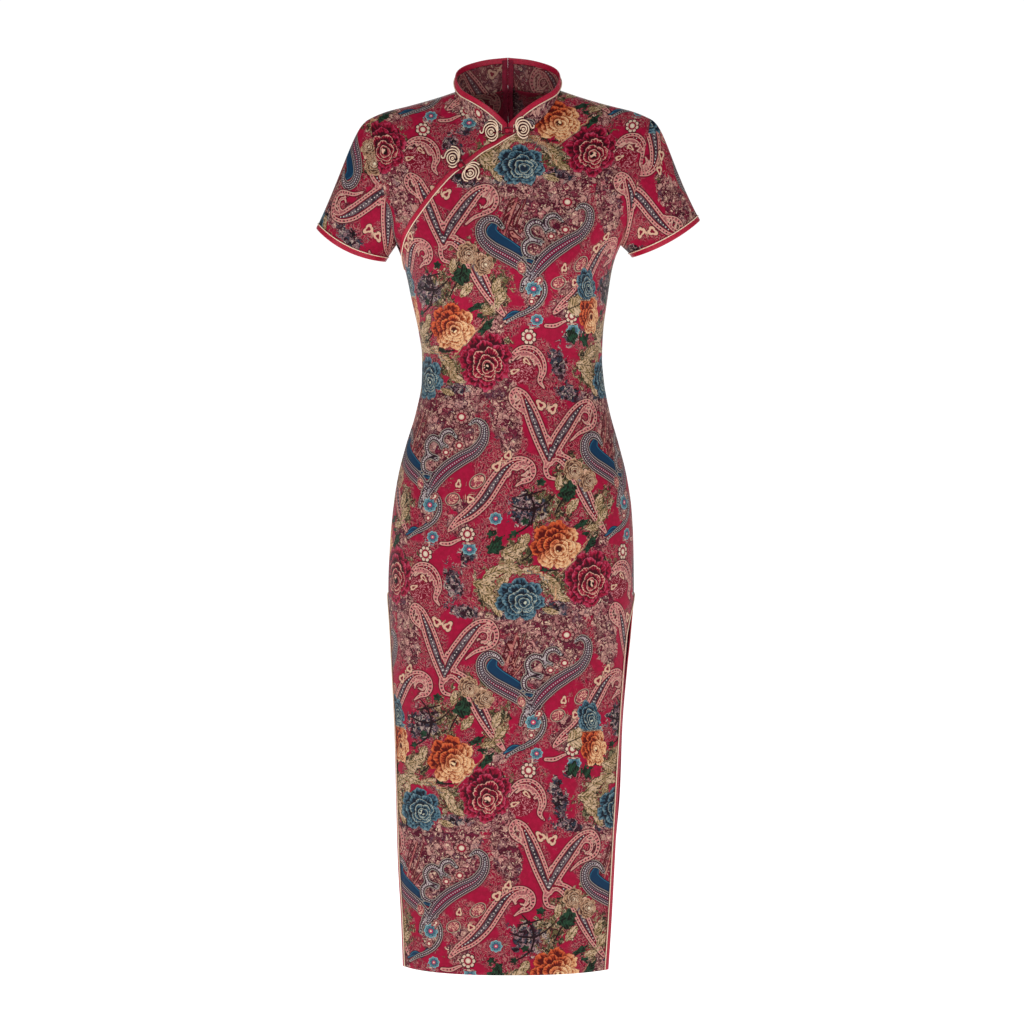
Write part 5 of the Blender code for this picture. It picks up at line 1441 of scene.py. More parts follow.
# Rings of petals: size, count, phase, the ring's middle, the share that the next ring hides, how light its edge is,
# and whether it takes the inner petals' edge
PETAL_RINGS = (
    (1.00, 7, 0.3, 0, 0, 0.72, 0.65, False), (0.77, 6, 1.2, 0.04, -0.04, 0.72, 0.75, False),
    (0.58, 5, 2.3, 0.09, -0.09, 0.66, 0.9, True), (0.40, 4, 0.9, 0.13, -0.14, 0.56, 1, True),
    (0.24, 3, 1.9, 0.15, -0.17, 0.40, 0.9, True),
)


def linear(code: str) -> tuple[float, float, float, float]:
    """A named sRGB colour as linear light."""
    channels = [int(code[i : i + 2], 16) / 255 for i in (1, 3, 5)]
    light = [c / 12.92 if c <= 0.04045 else ((c + 0.055) / 1.055) ** 2.4 for c in channels]
    return (*light, 1.0)


def operator(operation: str, swapped: bool = False) -> Callable[["Field", Value], "Field"]:
    """What a sign of arithmetic does to a field: it adds that sum to the graph."""

    def apply(this: "Field", other: Value) -> "Field":
        pair = (other, this) if swapped else (this, other)
        return this.graph.add("ShaderNodeMath", *pair, operation=operation)

    return apply


@dataclass(frozen=True)
class Field:
    """What one output of a node says at each place, which sums can be written with."""

    graph: "Graph"
    socket: bpy.types.NodeSocket

    __add__, __radd__ = operator("ADD"), operator("ADD", True)
    __sub__, __rsub__ = operator("SUBTRACT"), operator("SUBTRACT", True)
    __mul__, __rmul__ = operator("MULTIPLY"), operator("MULTIPLY", True)
    __truediv__, __pow__ = operator("DIVIDE"), operator("POWER")

    def __getitem__(self, name: str) -> "Field":
        """Another output of the same node."""
        return Field(self.graph, self.socket.node.outputs[name])

    def sum(self, operation: str, *others: Value) -> "Field":
        """A sum that has no operator."""
        return self.graph.add("ShaderNodeMath", self, *others, operation=operation)

    def __abs__(self) -> "Field":
        """Its size without its sign."""
        return self.sum("ABSOLUTE")

    def rise(self, low: float, high: float) -> "Field":
        """A smooth rise from 0 at low to 1 at high."""
        return self.graph.add("ShaderNodeMapRange", self, low, high, interpolation_type="SMOOTHSTEP")

    def band(self, low: float, high: float, soft: float) -> "Field":
        """1 between low and high, 0 outside."""
        return self.rise(low - soft, low + soft) * self.rise(high + soft, high - soft)

    def equals(self, wanted: int) -> "Field":
        """1 where it is this whole number."""
        return self.sum("COMPARE", float(wanted), 0.3)

    def split(self) -> tuple["Field", "Field", "Field"]:
        """Its three numbers."""
        parts = self.graph.add("ShaderNodeSeparateXYZ", self)
        return parts, parts["Y"], parts["Z"]


class Graph:
    """A material's nodes, added one after another."""

    def __init__(self, name: str) -> None:
        """Starts a material with its shader."""
        self.material = bpy.data.materials.new(name)
        self.material.use_nodes = True
        self.tree = self.material.node_tree

    def fill(self, target: bpy.types.NodeSocket, value: Value | None) -> None:
        """Links a field to an input, or sets it to a number or a colour."""
        if isinstance(value, Field):
            self.tree.links.new(value.socket, target)
        elif value is not None:
            target.default_value = linear(value) if isinstance(value, str) else value

    def add(self, kind: str, *inputs: Value | None, **settings: object) -> Field:
        """Adds a node and fills its inputs in order.

        Args:
            kind: the node's type.
            inputs: a field to link, a value, a colour code, or None to leave one alone.
            settings: the node's own settings.

        Returns:
            The node's first output.
        """
        node = self.tree.nodes.new(kind)
        for key, value in settings.items():
            setattr(node, key, value)
        for target, value in zip([socket for socket in node.inputs if socket.enabled], inputs):
            self.fill(target, value)
        return Field(self, next(socket for socket in node.outputs if socket.enabled))

    def millimetres(self, source: Field) -> Field:
        """Places that the node gives in metres, in millimetres."""
        return self.add("ShaderNodeVectorMath", source, 1 / MM, operation="SCALE")

    def shade(self, **inputs: Value) -> bpy.types.Material:
        """Sets the shader's inputs, whose names are written with underscores."""
        for name, value in inputs.items():
            self.fill(self.tree.nodes["Principled BSDF"].inputs[name.replace("_", " ")], value)
        return self.material

    def paint(self, colour: Value, *coats: tuple[Value, Value]) -> Field:
        """Coats of colour, one over another.

        Args:
            colour: what lies below.
            coats: how much of each coat there is, from 0 to 1, and its colour.

        Returns:
            The colour with its coats.
        """
        for share, coat in coats:
            colour = self.add("ShaderNodeMix", share, colour, coat, data_type="RGBA")
        return colour

    def layer(self, name: str) -> tuple[Field, Field, Field]:
        """The three numbers of one of the mesh's own layers."""
        return self.add("ShaderNodeAttribute", attribute_name=name)["Vector"].split()

    def number(self, name: str) -> Field:
        """One of the mesh's own numbers."""
        return self.add("ShaderNodeAttribute", attribute_name=name)["Fac"]

    def stroke(self, name: str, slack: float = 1.0) -> tuple[Field, Field, Field]:
        """A stroke's own places: inside its edge, along it, and off its middle line.

        Args:
            name: the kind of stroke.
            slack: how far it may reach beyond the distance that the mesh holds, in millimetres.

        Returns:
            The three distances, in millimetres.
        """
        off, along, width = self.layer(name)
        inside = width - abs(off)
        near = self.number(name + "_near") + slack
        return inside.sum("MINIMUM", near), along, off

    def stamp(self, name: str) -> tuple[Field, Field, Field]:
        """A stamp's own axes, far off beyond its reach, and its kind."""
        u, v, kind = self.layer(name)
        beyond = self.number(name + "_near").sum("GREATER_THAN", STAMP_REACH)
        return u + beyond * FAR, v, kind

    def woven(self, place: Field, pitch: float, roughness: float, depth: float) -> Field:
        """Gives the shader a weave's bump and a polish that varies from place to place.

        Args:
            place: places in millimetres.
            pitch: from one float of the weave to the next, in millimetres.
            roughness: the middle of the polish.
            depth: how deep the bump is, in millimetres.

        Returns:
            How much thread is up at each place, from 0 to 1: low between the floats and uneven along the slubs.
        """
        slubs = self.add("ShaderNodeTexNoise", place, SLUBS / pitch, 3.0)
        x, y, z = place.split()
        slant = x + y * 0.8 + z * 0.62
        wave = (slant * (2 * math.pi / pitch)).sum("SINE")
        height = wave * 0.25 + slubs * 1.5
        bump = self.add("ShaderNodeBump", 0.5, depth * MM, None, height)
        polish = self.add("ShaderNodeMapRange", height, 0.35, 1.1, roughness - 0.07, roughness + 0.09)
        self.shade(Normal=bump, Roughness=polish)
        return height.rise(0.3, 1.2)

    def tones(self, value: Field, stops: tuple[tuple[float, str], ...]) -> Field:
        """One flat colour after another as a value rises from 0 to 1."""
        (_, first), *others = stops
        return self.paint(first, *((value.sum("GREATER_THAN", start), code) for start, code in others))

    def dots(self, across: Field, along: Field, pitch: float, radius: float) -> Field:
        """Round dots on the line where across is 0, at an even pitch along it."""
        beside = ((along / pitch).sum("FRACT") - 0.5) * pitch
        return (beside * beside + across * across).sum("SQRT").rise(radius + 0.35, radius - 0.35)


def polar(x: Field, y: Field) -> tuple[Field, Field]:
    """How far out a place is, and at what angle."""
    return (x * x + y * y).sum("SQRT"), y.sum("ARCTAN2", x)


class Curls:
    """A field of small spirals, one in each cell of an uneven net."""

    def __init__(self, g: Graph, place: Field, size: float, pitch: float) -> None:
        """Adds the nodes.

        Args:
            g: the material's nodes.
            place: places in millimetres.
            size: a cell's size, in millimetres.
            pitch: from one turn of a spiral to the next, in millimetres.
        """
        cells = g.add("ShaderNodeTexVoronoi", place, 1 / size, voronoi_dimensions="2D")
        edges = g.add("ShaderNodeTexVoronoi", place, 1 / size, voronoi_dimensions="2D", feature="DISTANCE_TO_EDGE")
        self.pick, self.other, _ = cells["Color"].split()
        x, y, _ = g.add("ShaderNodeVectorMath", place, cells["Position"], operation="SUBTRACT").split()
        self.away, angle = polar(x, y)
        self.border = edges * size
        wound = (self.away / pitch + angle / (2 * math.pi)).sum("FRACT")
        self.line = wound.band(0.28, 0.72, 0.1)


@dataclass(frozen=True)
class PrintedSatin:
    """Polyester satin with a dense print of paisley scrolls and peonies on crimson."""

    ground: str = "#AA1243"
    roughness: float = 0.5

    def make(self) -> bpy.types.Material:
        """Builds the material from the layers that Print writes on each sheet."""
        g = Graph("printed polyester satin")
        place = g.millimetres(g.add("ShaderNodeUVMap", uv_map="cloth"))
        grain = g.add("ShaderNodeTexNoise", place, 1 / GRAIN, 2.0, noise_dimensions="2D")["Color"]
        drift = g.add("ShaderNodeVectorMath", grain, (0.5, 0.5, 0.5), operation="SUBTRACT")
        drift = g.add("ShaderNodeVectorMath", drift, DRIFT, operation="SCALE")
        warped = g.add("ShaderNodeVectorMath", place, drift, operation="ADD")
        tone, streak, _ = grain.split()
        colour = g.paint(self.ground, (tone.rise(0.35, 0.7), "#B8164A"))
        cells = Curls(g, warped, CELL, CURL)
        fine = Curls(g, warped, FINE_CELL, FINE_CURL)
        colour = self.tendrils(g, colour, place)
        colour = self.filling(g, colour, cells, fine)
        colour = self.lines(g, colour, fine.pick)
        colour = self.rosettes(g, colour)
        colour = self.leaves(g, colour, fine.pick, tone, fine.away)
        colour = self.flowers(g, colour, tone, streak)
        muted = g.paint(colour, (0.45, "#6E3A3C"))
        colour = g.paint(colour, (g.number("inside").rise(0.4, 0.6), muted))
        colour = g.add("ShaderNodeGamma", colour, DEEPEN)
        threads = g.woven(place, FLOAT_PITCH, self.roughness, 0.12)
        # painted shade between the weave's floats, darkest where the threads sink, and uneven along the slubs
        colour = g.paint(colour, ((1.0 - threads) * 0.16, "#1C060C"))
        tint = (1.0, 0.74, 0.76, 1.0)
        return g.shade(Base_Color=colour, IOR=1.5, Specular_IOR_Level=0.15, Specular_Tint=tint)

    def tendrils(self, g: Graph, colour: Field, place: Field) -> Field:
        """Thin dark and pink lines that wander over most of the ground."""
        noise = g.add("ShaderNodeTexNoise", place, 1 / TENDRIL, 2.5, noise_dimensions="2D")["Color"]
        first, second, third = noise.split()
        grown, _, _ = g.add("ShaderNodeTexNoise", place, 1 / GROWTH, 1.0, noise_dimensions="2D")["Color"].split()
        covered = grown.rise(0.44, 0.52)
        wash = (third * 5.0).sum("FRACT").band(0.3, 0.7, 0.12)
        colour = g.paint(colour, (wash * (covered * 0.5), "#8A5A5E"))
        for source, turns, code, weight in ((first, 13.0, "#3E0C1E", 0.85), (second, 10.0, "#C98E88", 0.7)):
            line = (source * turns).sum("FRACT").band(0.36, 0.64, 0.1)
            colour = g.paint(colour, (line * (covered * weight), code))
        return colour

    def filling(self, g: Graph, colour: Field, cells: Curls, fine: Curls) -> Field:
        """The fine arabesques, leafy speckle, dark thickets and dotted fields between the motifs.

        Args:
            g: the material's nodes.
            colour: what is printed so far.
            cells, fine: the coarse and the fine field of curls.

        Returns:
            The colour with the filling.
        """
        arabesque, leafy, dark = g.layer("filling")
        ragged = (fine.pick - 0.5) * 0.3
        curls = g.paint(
            g.tones(cells.pick, CURL_TONES),
            (fine.pick.rise(0.62, 0.7) * 0.6, "#CC9C92"),
            (fine.pick.rise(0.3, 0.24) * 0.55, "#8E2A48"),
            (cells.line * 0.85, g.paint("#5E1430", (cells.other.rise(0.45, 0.55), "#D8AAA0"))),
            (cells.border.rise(0.75, 0.35), "#4A1228"),
            (cells.away.rise(1.3, 0.8), "#EAD0B6"),
        )
        leaf = g.paint(
            g.tones(fine.other, LEAFY_TONES),
            (cells.line * 0.55, "#3A3424"),
            (fine.border.rise(0.42, 0.15), "#2E2A22"),
        )
        thicket = g.paint(g.tones(fine.pick, THICKET_TONES), (cells.line * 0.7, "#1C1018"))
        dotted = g.paint("#8A0E32", (fine.away.rise(0.95, 0.6), "#E09AA0"))
        return g.paint(
            colour,
            ((arabesque + ragged).rise(0.3, 0.42), curls),
            ((leafy + (cells.other - 0.5) * 0.7 + ragged).rise(0.38, 0.5), leaf),
            ((dark + (cells.pick - 0.5) * 0.6 + ragged).rise(0.38, 0.5), thicket),
            (g.number("dotted").rise(0.34, 0.42), dotted),
        )

    def lines(self, g: Graph, colour: Field, small: Field) -> Field:
        """The teal heads, grey ribbons, pink dotted scrolls, bars and twigs."""
        inner, _, _ = g.stroke("bar", 1.8)
        colour = g.paint(
            colour,
            (inner.rise(-0.2, 0.2), "#5E1020"),
            (inner.rise(1.0, 1.3), g.paint("#A8525C", (small.rise(0.35, 0.65), "#C98E82"))),
        )
        inner, _, _ = g.stroke("teal")
        teal = g.paint("#0C4666", (inner.band(1.6, 2.3, 0.3), "#3F86A0"), (inner.rise(0.9, 0.5), "#0A2230"))
        colour = g.paint(colour, (inner.rise(-0.2, 0.4), teal))
        inner, run, off = g.stroke("ribbon")
        ticks = (run * 3.1).sum("SINE").rise(0.2, 0.6)
        colour = g.paint(colour, (inner.band(-1.8, 0.0, 0.25) * ticks, "#2A1820"))
        ribbon = g.paint(
            "#A39A92",
            (inner.rise(0.9, 1.3), "#2B2028"),
            (inner.rise(2.0, 2.4), "#6E4A5A"),
            (g.dots(inner - 3.4, run, 2.8, 0.6), "#E8E0D8"),
            (inner.rise(4.3, 4.7), "#24161F"),
            (inner.rise(5.2, 5.6), "#8C8088"),
            (inner.rise(6.2, 6.6), "#3A1226"),
            (inner.rise(7.2, 7.6), "#8E2A50"),
            (g.dots(off, run, 3.6, 0.75), "#D8D2D2"),
        )
        colour = g.paint(colour, (inner.rise(-0.3, 0.3), ribbon))
        inner, run, off = g.stroke("scroll")
        colour = g.paint(colour, (inner.band(-1.2, -0.4, 0.25), "#6E1030"))
        scroll = g.paint(
            "#3A1020",
            (inner.rise(0.3, 0.6), "#DFB4A4"),
            (inner.rise(1.3, 1.6), "#D48888"),
            (g.dots(inner - 2.8, run, 5.0, 1.0), "#1E0A12"),
            (inner.rise(4.0, 4.3), "#DFB4A4"),
            (inner.rise(4.9, 5.3), "#8E1036"),
            (inner.rise(6.4, 6.8), "#453640"),
            (inner.rise(7.2, 7.8) * small.rise(0.4, 0.6), "#857378"),
            (g.dots(off, run, 5.0, 0.85) * inner.rise(6.2, 6.8), "#EDE4DC"),
        )
        colour = g.paint(colour, (inner.rise(-0.3, 0.3), scroll))
        inner, _, _ = g.stroke("twig", 1.8)
        return g.paint(colour, (inner.rise(-0.4, 0.2), "#2A141B"))

    def rosettes(self, g: Graph, colour: Field) -> Field:
        """Small round flowers of eight petals."""
        u, v, kind = g.stamp("rosette")
        r, angle = polar(u, v)
        lobe = abs((angle * 4.0).sum("COSINE"))
        q = r / (0.82 + lobe * 0.18)  # 1 on the petals' outline
        turquoise, cream = kind.equals(1), kind.equals(2)
        petal = g.paint("#B98C84", (cream, "#E6CDB8"), (turquoise, "#6E929C"))
        between = g.paint("#6E1230", (turquoise, "#1E4E62"))
        look = g.paint(
            petal,
            (lobe.rise(0.45, 0.25), between),
            (q.rise(0.62, 0.5), g.paint("#A01A40", (turquoise, "#486E82"))),
            (r.rise(0.36, 0.26), g.paint("#E7D2BE", (turquoise, "#D3466E"))),
            (r.rise(0.16, 0.1), "#F0E2CC"),
            (q.rise(0.84, 0.9), g.paint("#431326", (turquoise, "#8FC4C8"))),
        )
        return g.paint(colour, (q.rise(1.03, 0.97), look))

    def leaves(self, g: Graph, colour: Field, small: Field, tone: Field, net: Field) -> Field:
        """Leaves, speckled buds and cream sprigs."""
        a, b, kind = g.stamp("leaf")
        r, angle = polar(a, b)
        ivy = 0.84 + (angle * 5.0).sum("COSINE") * 0.16
        serrate = (a * 19.0).sum("SINE") * 0.08
        pointed = (1.0 - a * a).sum("MAXIMUM", 0.0001) ** 0.85
        sprig = 0.62 + abs((angle * 1.5).sum("COSINE")) * 0.42
        shape = (pointed + serrate).sum("MAXIMUM", 0.02)
        by_leaf = abs(b) / shape + abs(a).rise(0.94, 1.0)
        q_ivy, q_sprig = r / ivy, r / sprig
        vein = abs(b).rise(0.07, 0.03)
        ribs = ((a - abs(b) * 0.7) * 17.0).sum("SINE")
        green = g.paint("#0B1A13", (tone.rise(0.4, 0.62), "#264E3A"), (ribs.rise(0.6, 0.95) * 0.4, "#4E7A58"))
        colour = g.paint(colour, (kind.equals(1) * q_ivy.rise(1.04, 0.96), green))
        olive = g.paint(
            "#7C6C46",
            (ribs.rise(-0.2, 0.5), "#C8A886"),
            (small.rise(0.55, 0.7) * 0.75, "#E6C8AC"),
            (vein.sum("MAXIMUM", by_leaf.rise(0.8, 0.9)), "#46382A"),
        )
        colour = g.paint(colour, (kind.equals(2) * by_leaf.rise(1.04, 0.94), olive))
        bud = g.paint(
            "#E9BDA6",
            (net.rise(0.9, 1.15), "#A84A5A"),
            (r.rise(0.76, 0.82), "#5E2A34"),
            (r.rise(0.88, 0.92), "#B9A894"),
        )
        colour = g.paint(colour, (kind.equals(3) * r.rise(1.03, 0.97), bud))
        cream = g.paint("#E6BFA6", (q_sprig.rise(0.45, 0.35), "#8E1E3C"), (q_sprig.rise(0.84, 0.92), "#4A1222"))
        return g.paint(colour, (kind.equals(4) * q_sprig.rise(1.04, 0.96), cream))

    def flowers(self, g: Graph, colour: Field, tone: Field, streak: Field) -> Field:
        """Peonies and roses, drawn from the outer ring of petals to the inner."""
        u, v, kind = g.stamp("flower")
        peony, rose, blue = (kind.equals(n) for n in (1, 2, 3))
        sunlit = (u - v).rise(-0.35, 0.35)

        def tint(of_peony: str, of_blue: str, of_rose: str, of_rose_lit: str, of_tuft: str) -> Field:
            """The colour of this part of whichever flower it is."""
            return g.paint(of_tuft, (rose, g.paint(of_rose, (sunlit, of_rose_lit))), (blue, of_blue), (peony, of_peony))

        edge_outer = tint("#DC6C88", "#A0B8BA", "#EC8E5C", "#F6DDB8", "#E6D4B4")
        edge_inner = tint("#F6CDB6", "#D4D6C4", "#F09A62", "#F8DDB4", "#F0E2C8")
        body = tint("#AE1C44", "#4E7486", "#D2603A", "#EDB88A", "#C89A7C")
        shade = tint("#4A081E", "#102434", "#641410", "#A04420", "#5E3E34")
        heart = tint("#1E050D", "#1C3346", "#4A0E0C", "#5A1A10", "#6E3A34")
        for size, petals, phase, off_u, off_v, hidden, rim, inner in PETAL_RINGS:
            r, angle = polar(u - off_u, v - off_v)
            turn = (angle + phase) * (petals / 2)
            bump = abs(turn.sum("COSINE"))
            wander = (tone - 0.5) * 0.26
            lobe = 0.79 + bump ** 0.6 * 0.24
            q = r / ((lobe + wander) * size)  # 1 on the petals' outline
            veins = (angle * 31.0 + streak * 9.0).sum("SINE")
            fold = (streak - 0.5) * 1.5 + veins * 0.2
            shown = (q - hidden) / (1 - hidden)
            level = shown + fold
            lit = edge_inner if inner else edge_outer
            petal = g.paint(
                shade,
                (level.rise(0.0, 0.75), body),
                (level.rise(0.62, 1.05) * (rim * 0.7), lit),
                (shown.rise(0.8, 0.9) * rim, lit),
                (bump.rise(0.34, 0.05) * shown.rise(1.1, 0.5), shade),
                (q.rise(0.96, 0.99), shade),
            )
            colour = g.paint(colour, (q.rise(1.01, 0.98), petal))
        r, _ = polar(u - 0.12, v + 0.15)
        seeds = g.paint(heart, (tone.rise(0.52, 0.58), edge_inner))
        return g.paint(colour, (r.rise(0.16, 0.1), seeds))


# ---------------------------------------------------------------- frog buttons

FRONT_BINDINGS = ("opening_binding", "collar_binding_right", "collar_binding_left")
# Where a frog's petals meet (across, height), the way it points in degrees, and which side its crest is on
FROG_ROWS = (
    ("neck_under", -17.0, 1152.0, 187.0, -1),
    ("neck_over", 10.0, 1154.0, 6.0, 1),
    ("chest_under", -69.0, 1115.5, 180.0, -1),
    ("chest_over", -60.0, 1101.0, -40.0, 1),
)
# The lines of one frog from there, in millimetres out along it and up across it
PETALS = (
    ((6.8, 0.8), (7.4, 2.2), (8.8, 2.2), (9.6, 0.9), (8.9, -0.5), (7.4, -0.6), (6.8, 0.8)),
    ((4.4, 1.4), (5.5, 4.5), (8.6, 5.6), (11.9, 3.8), (12.4, 0.4), (10.3, -2.8), (7, -3.4), (4.8, -1.8)),
    ((0, 0), (1.5, 5.6), (5, 9.2), (9.6, 9.4), (13.9, 6.6), (15.6, 1.6), (14, -3.8), (9.9, -7.2), (5.2, -6.7),
     (1.6, -3.2), (0, 0)),
    ((0, 0.4), (0.2, 7.2), (3.4, 12), (9, 13.4), (14.8, 11), (18, 6.2), (18.9, 2.8), (20.8, 1.2), (22.8, 2.4),
     (23, 4.8)),
    ((-0.8, 1.2), (-1.2, 9), (1.2, 14.2), (5.8, 16.9), (10.2, 17.2)),
    ((-0.4, -0.6), (0.6, -5.8), (3.9, -9.8), (8.4, -11.2), (13, -9.2)),
)
PETAL_SPACING = 0.7
KNOT_ROWS = (("neck", -4.0, 1153.7), ("chest", -66.0, 1107.0))
FROG_CORD, FROG_CREAM = 1.5, 0.9  # the satin strip's radius, and that of the cream piping on it
KNOT_RADIUS, STEM_RADIUS, BALL_CORD = 3.0, 1.1, 1.05
LOOP_RADIUS = 1.0
LOOP_FLOAT, LOOP_BOW = 0.9, 3.2
FROG_RIDE = 0.1  # how clear of the cloth and of any piping a cord lies
FROG_FEEL, FROG_CLIMB = 0.8, 3.5  # how far beside a cord the cloth counts, and over what it climbs a piping
EDGE_PROUD = 0.85  # how far out of a frog's strip its cream edge stands, in the strip's radius
# The cord of the ball goes twice round while it weaves in and out five times
BALL_WEAVES, BALL_MIDDLE, BALL_SWAY, BALL_DEEP = 5, 1.35, 0.75, 1.36


@dataclass
class Frogs:
    """Two pairs of coiled frogs, each a dark satin cord with cream piping, and the knots and loops between."""

    form: BodyForm
    trim: Trim
    cord_finish: bpy.types.Material
    knot_finish: bpy.types.Material
    cream: bpy.types.Material
    made: dict[str, list[bpy.types.Object]] = field(default_factory=dict)

    def lifted(self, places: np.ndarray, radius: float, float_out: float = 0.0) -> np.ndarray:
        """A centre line over the front, clear of the cloth and bindings and riding over any piping."""
        near = radius + FROG_FEEL
        around = np.array(((0, 0), (near, 0), (-near, 0), (0, near), (0, -near)))
        spots = places[:, None] + around[None]
        base = self.form.front_reach(spots[..., 0], spots[..., 1]).max(axis=1)
        lift = (BIND_THICK - CLOTH) / 2 + FROG_RIDE + radius + float_out
        points = joined(places[:, 0], -base - lift, places[:, 1])
        away = np.linalg.norm((self.pipings[None] - points[:, None])[..., [0, 2]], axis=-1).min(axis=1)
        over = smoothstep(1 - (away - radius - PIPING_RADIUS) / FROG_CLIMB)
        points[:, 1] -= over * max(2 * PIPING_RADIUS + FROG_RIDE - float_out, 0.0)
        return points

    def petal(self, row: tuple, chart: tuple) -> np.ndarray:
        """Flat places along one of the frog's lines."""
        _, across, height, way, hand = row
        line = eased(np.array(chart, float), lambda length: int(length / PETAL_SPACING) + 1)
        c, s = math.cos(math.radians(way)), math.sin(math.radians(way))
        out, up = line[:, 0], line[:, 1] * hand
        return joined(across + out * c - up * s, height + out * s + up * c)

    def build(self) -> None:
        """Makes every frog, knot and loop."""
        lines = [np.concatenate(list(g.points[:, :1])) for n, g in self.trim.grids.items() if n in FRONT_BINDINGS]
        self.pipings = np.concatenate([resampled(line, 1.0) for line in lines])
        meets = {}
        for row in FROG_ROWS:
            name = row[0]
            meets[name] = np.array(row[1:3])
            petals = [self.petal(row, chart) for chart in PETALS]
            strips = [smoothed(self.lifted(places, FROG_CORD), 2) for places in petals]
            edges = [line - (0.0, FROG_CORD * EDGE_PROUD, 0.0) for line in strips]
            self.made[f"frog_{name}"] = [
                add_cord(f"frog_{name}_strip", strips, FROG_CORD, self.cord_finish),
                add_cord(f"frog_{name}_edge", edges, FROG_CREAM, self.cream),
            ]
        for name, across, height in KNOT_ROWS:
            place = np.array((across, height))
            self.made[f"button_knot_{name}"] = self.knot(name, place, meets[f"{name}_under"])
            self.made[f"button_loop_{name}"] = self.loop(name, place, meets[f"{name}_over"])

    def knot(self, name: str, place: np.ndarray, frog: np.ndarray) -> list[bpy.types.Object]:
        """The ball of the button, wound from cord, and the stem that joins it to its own frog."""
        way = unit(frog - place)
        gap = np.linalg.norm(frog - place)
        centre = self.lifted(place[None], KNOT_RADIUS)[0]
        far = np.linspace(KNOT_RADIUS * 0.6, gap, 12)
        stem = self.lifted(place + way * far[:, None], STEM_RADIUS)
        stem[0, 1] = (centre[1] + stem[1, 1]) / 2
        made = [add_cord(f"button_knot_{name}_stem", smoothed(stem, 2), STEM_RADIUS, self.cord_finish)]
        turn = np.linspace(0, 2 * np.pi, 181)[:-1]
        weave = BALL_WEAVES * turn
        span = BALL_MIDDLE + BALL_SWAY * np.cos(weave)
        wound = joined(np.cos(2 * turn) * span, np.sin(2 * turn) * span, BALL_DEEP * np.sin(weave))
        points = centre + wound @ np.array(((way[0], 0, way[1]), (-way[1], 0, way[0]), (0, -1, 0)))
        made.append(add_cord(f"button_knot_{name}_ball", points, BALL_CORD, self.knot_finish, closed=True))
        return made

    def loop(self, name: str, place: np.ndarray, frog: np.ndarray) -> list[bpy.types.Object]:
        """The loop that holds the ball: two legs from the other frog and a half turn round the ball."""
        way = unit(frog - place)
        aside = np.array((-way[1], way[0]))
        reach = KNOT_RADIUS + LOOP_RADIUS + 0.5
        turn = np.linspace(0, np.pi, 33)[:, None]
        legs = np.linspace(1, 0, 14)[:-1, None]
        gap = np.linalg.norm(frog - place)
        close = reach - (reach - LOOP_RADIUS) * legs**2
        there, back = aside * close + way * legs * gap, -aside * close[::-1] + way * legs[::-1] * gap
        places = place + np.concatenate([there, reach * (aside * np.cos(turn) - way * np.sin(turn)), back])
        points = self.lifted(places, LOOP_RADIUS, LOOP_FLOAT)
        arc = slice(len(legs), len(legs) + len(turn))
        points[arc, 1] -= LOOP_BOW * np.sin(turn[:, 0]) ** 2
        return [add_cord(f"button_loop_{name}_cord", smoothed(points, 3), LOOP_RADIUS, self.cord_finish)]


# ---------------------------------------------------------------- zip

ZIP_BOTTOM, ZIP_ROWS, ZIP_REACH = 680.0, 150, 6.0  # and how far above the shoulders its rows are looked for
# Across from the middle and how proud of the cloth's back, for each column of a tape
TAPE_COLUMNS = (
    (0.45, 0), (0.9, 0), (1.3, 0), (1.8, 0), (2.1, 0.25), (4, 0.3), (6, 0.3), (7.6, 0.3), (8, 0.35),
)
TAPE_ON_COLLAR = (0.06, 0.93, 18)  # from how far up the collar to how far, in how many rows
TAPE_BEHIND, TAPE_FLUSH = 0.7, 0.3  # how far behind the cloth the tapes lie where they are this proud
NAPE_TUCK, NAPE_SPREAD = 1.9, 22.0  # how much deeper the tapes lie behind the neck seam's turnings, and over what
TAPE_THICK, TAPE_SEWN = 0.75, 6  # and the column of the tape that its stitches follow
COIL_COLUMN, COIL_PITCH, COIL_STEPS = 1, 1.3, 9
COIL_WIDE, COIL_DEEP, COIL_RADIUS = 0.8, 0.42, 0.28


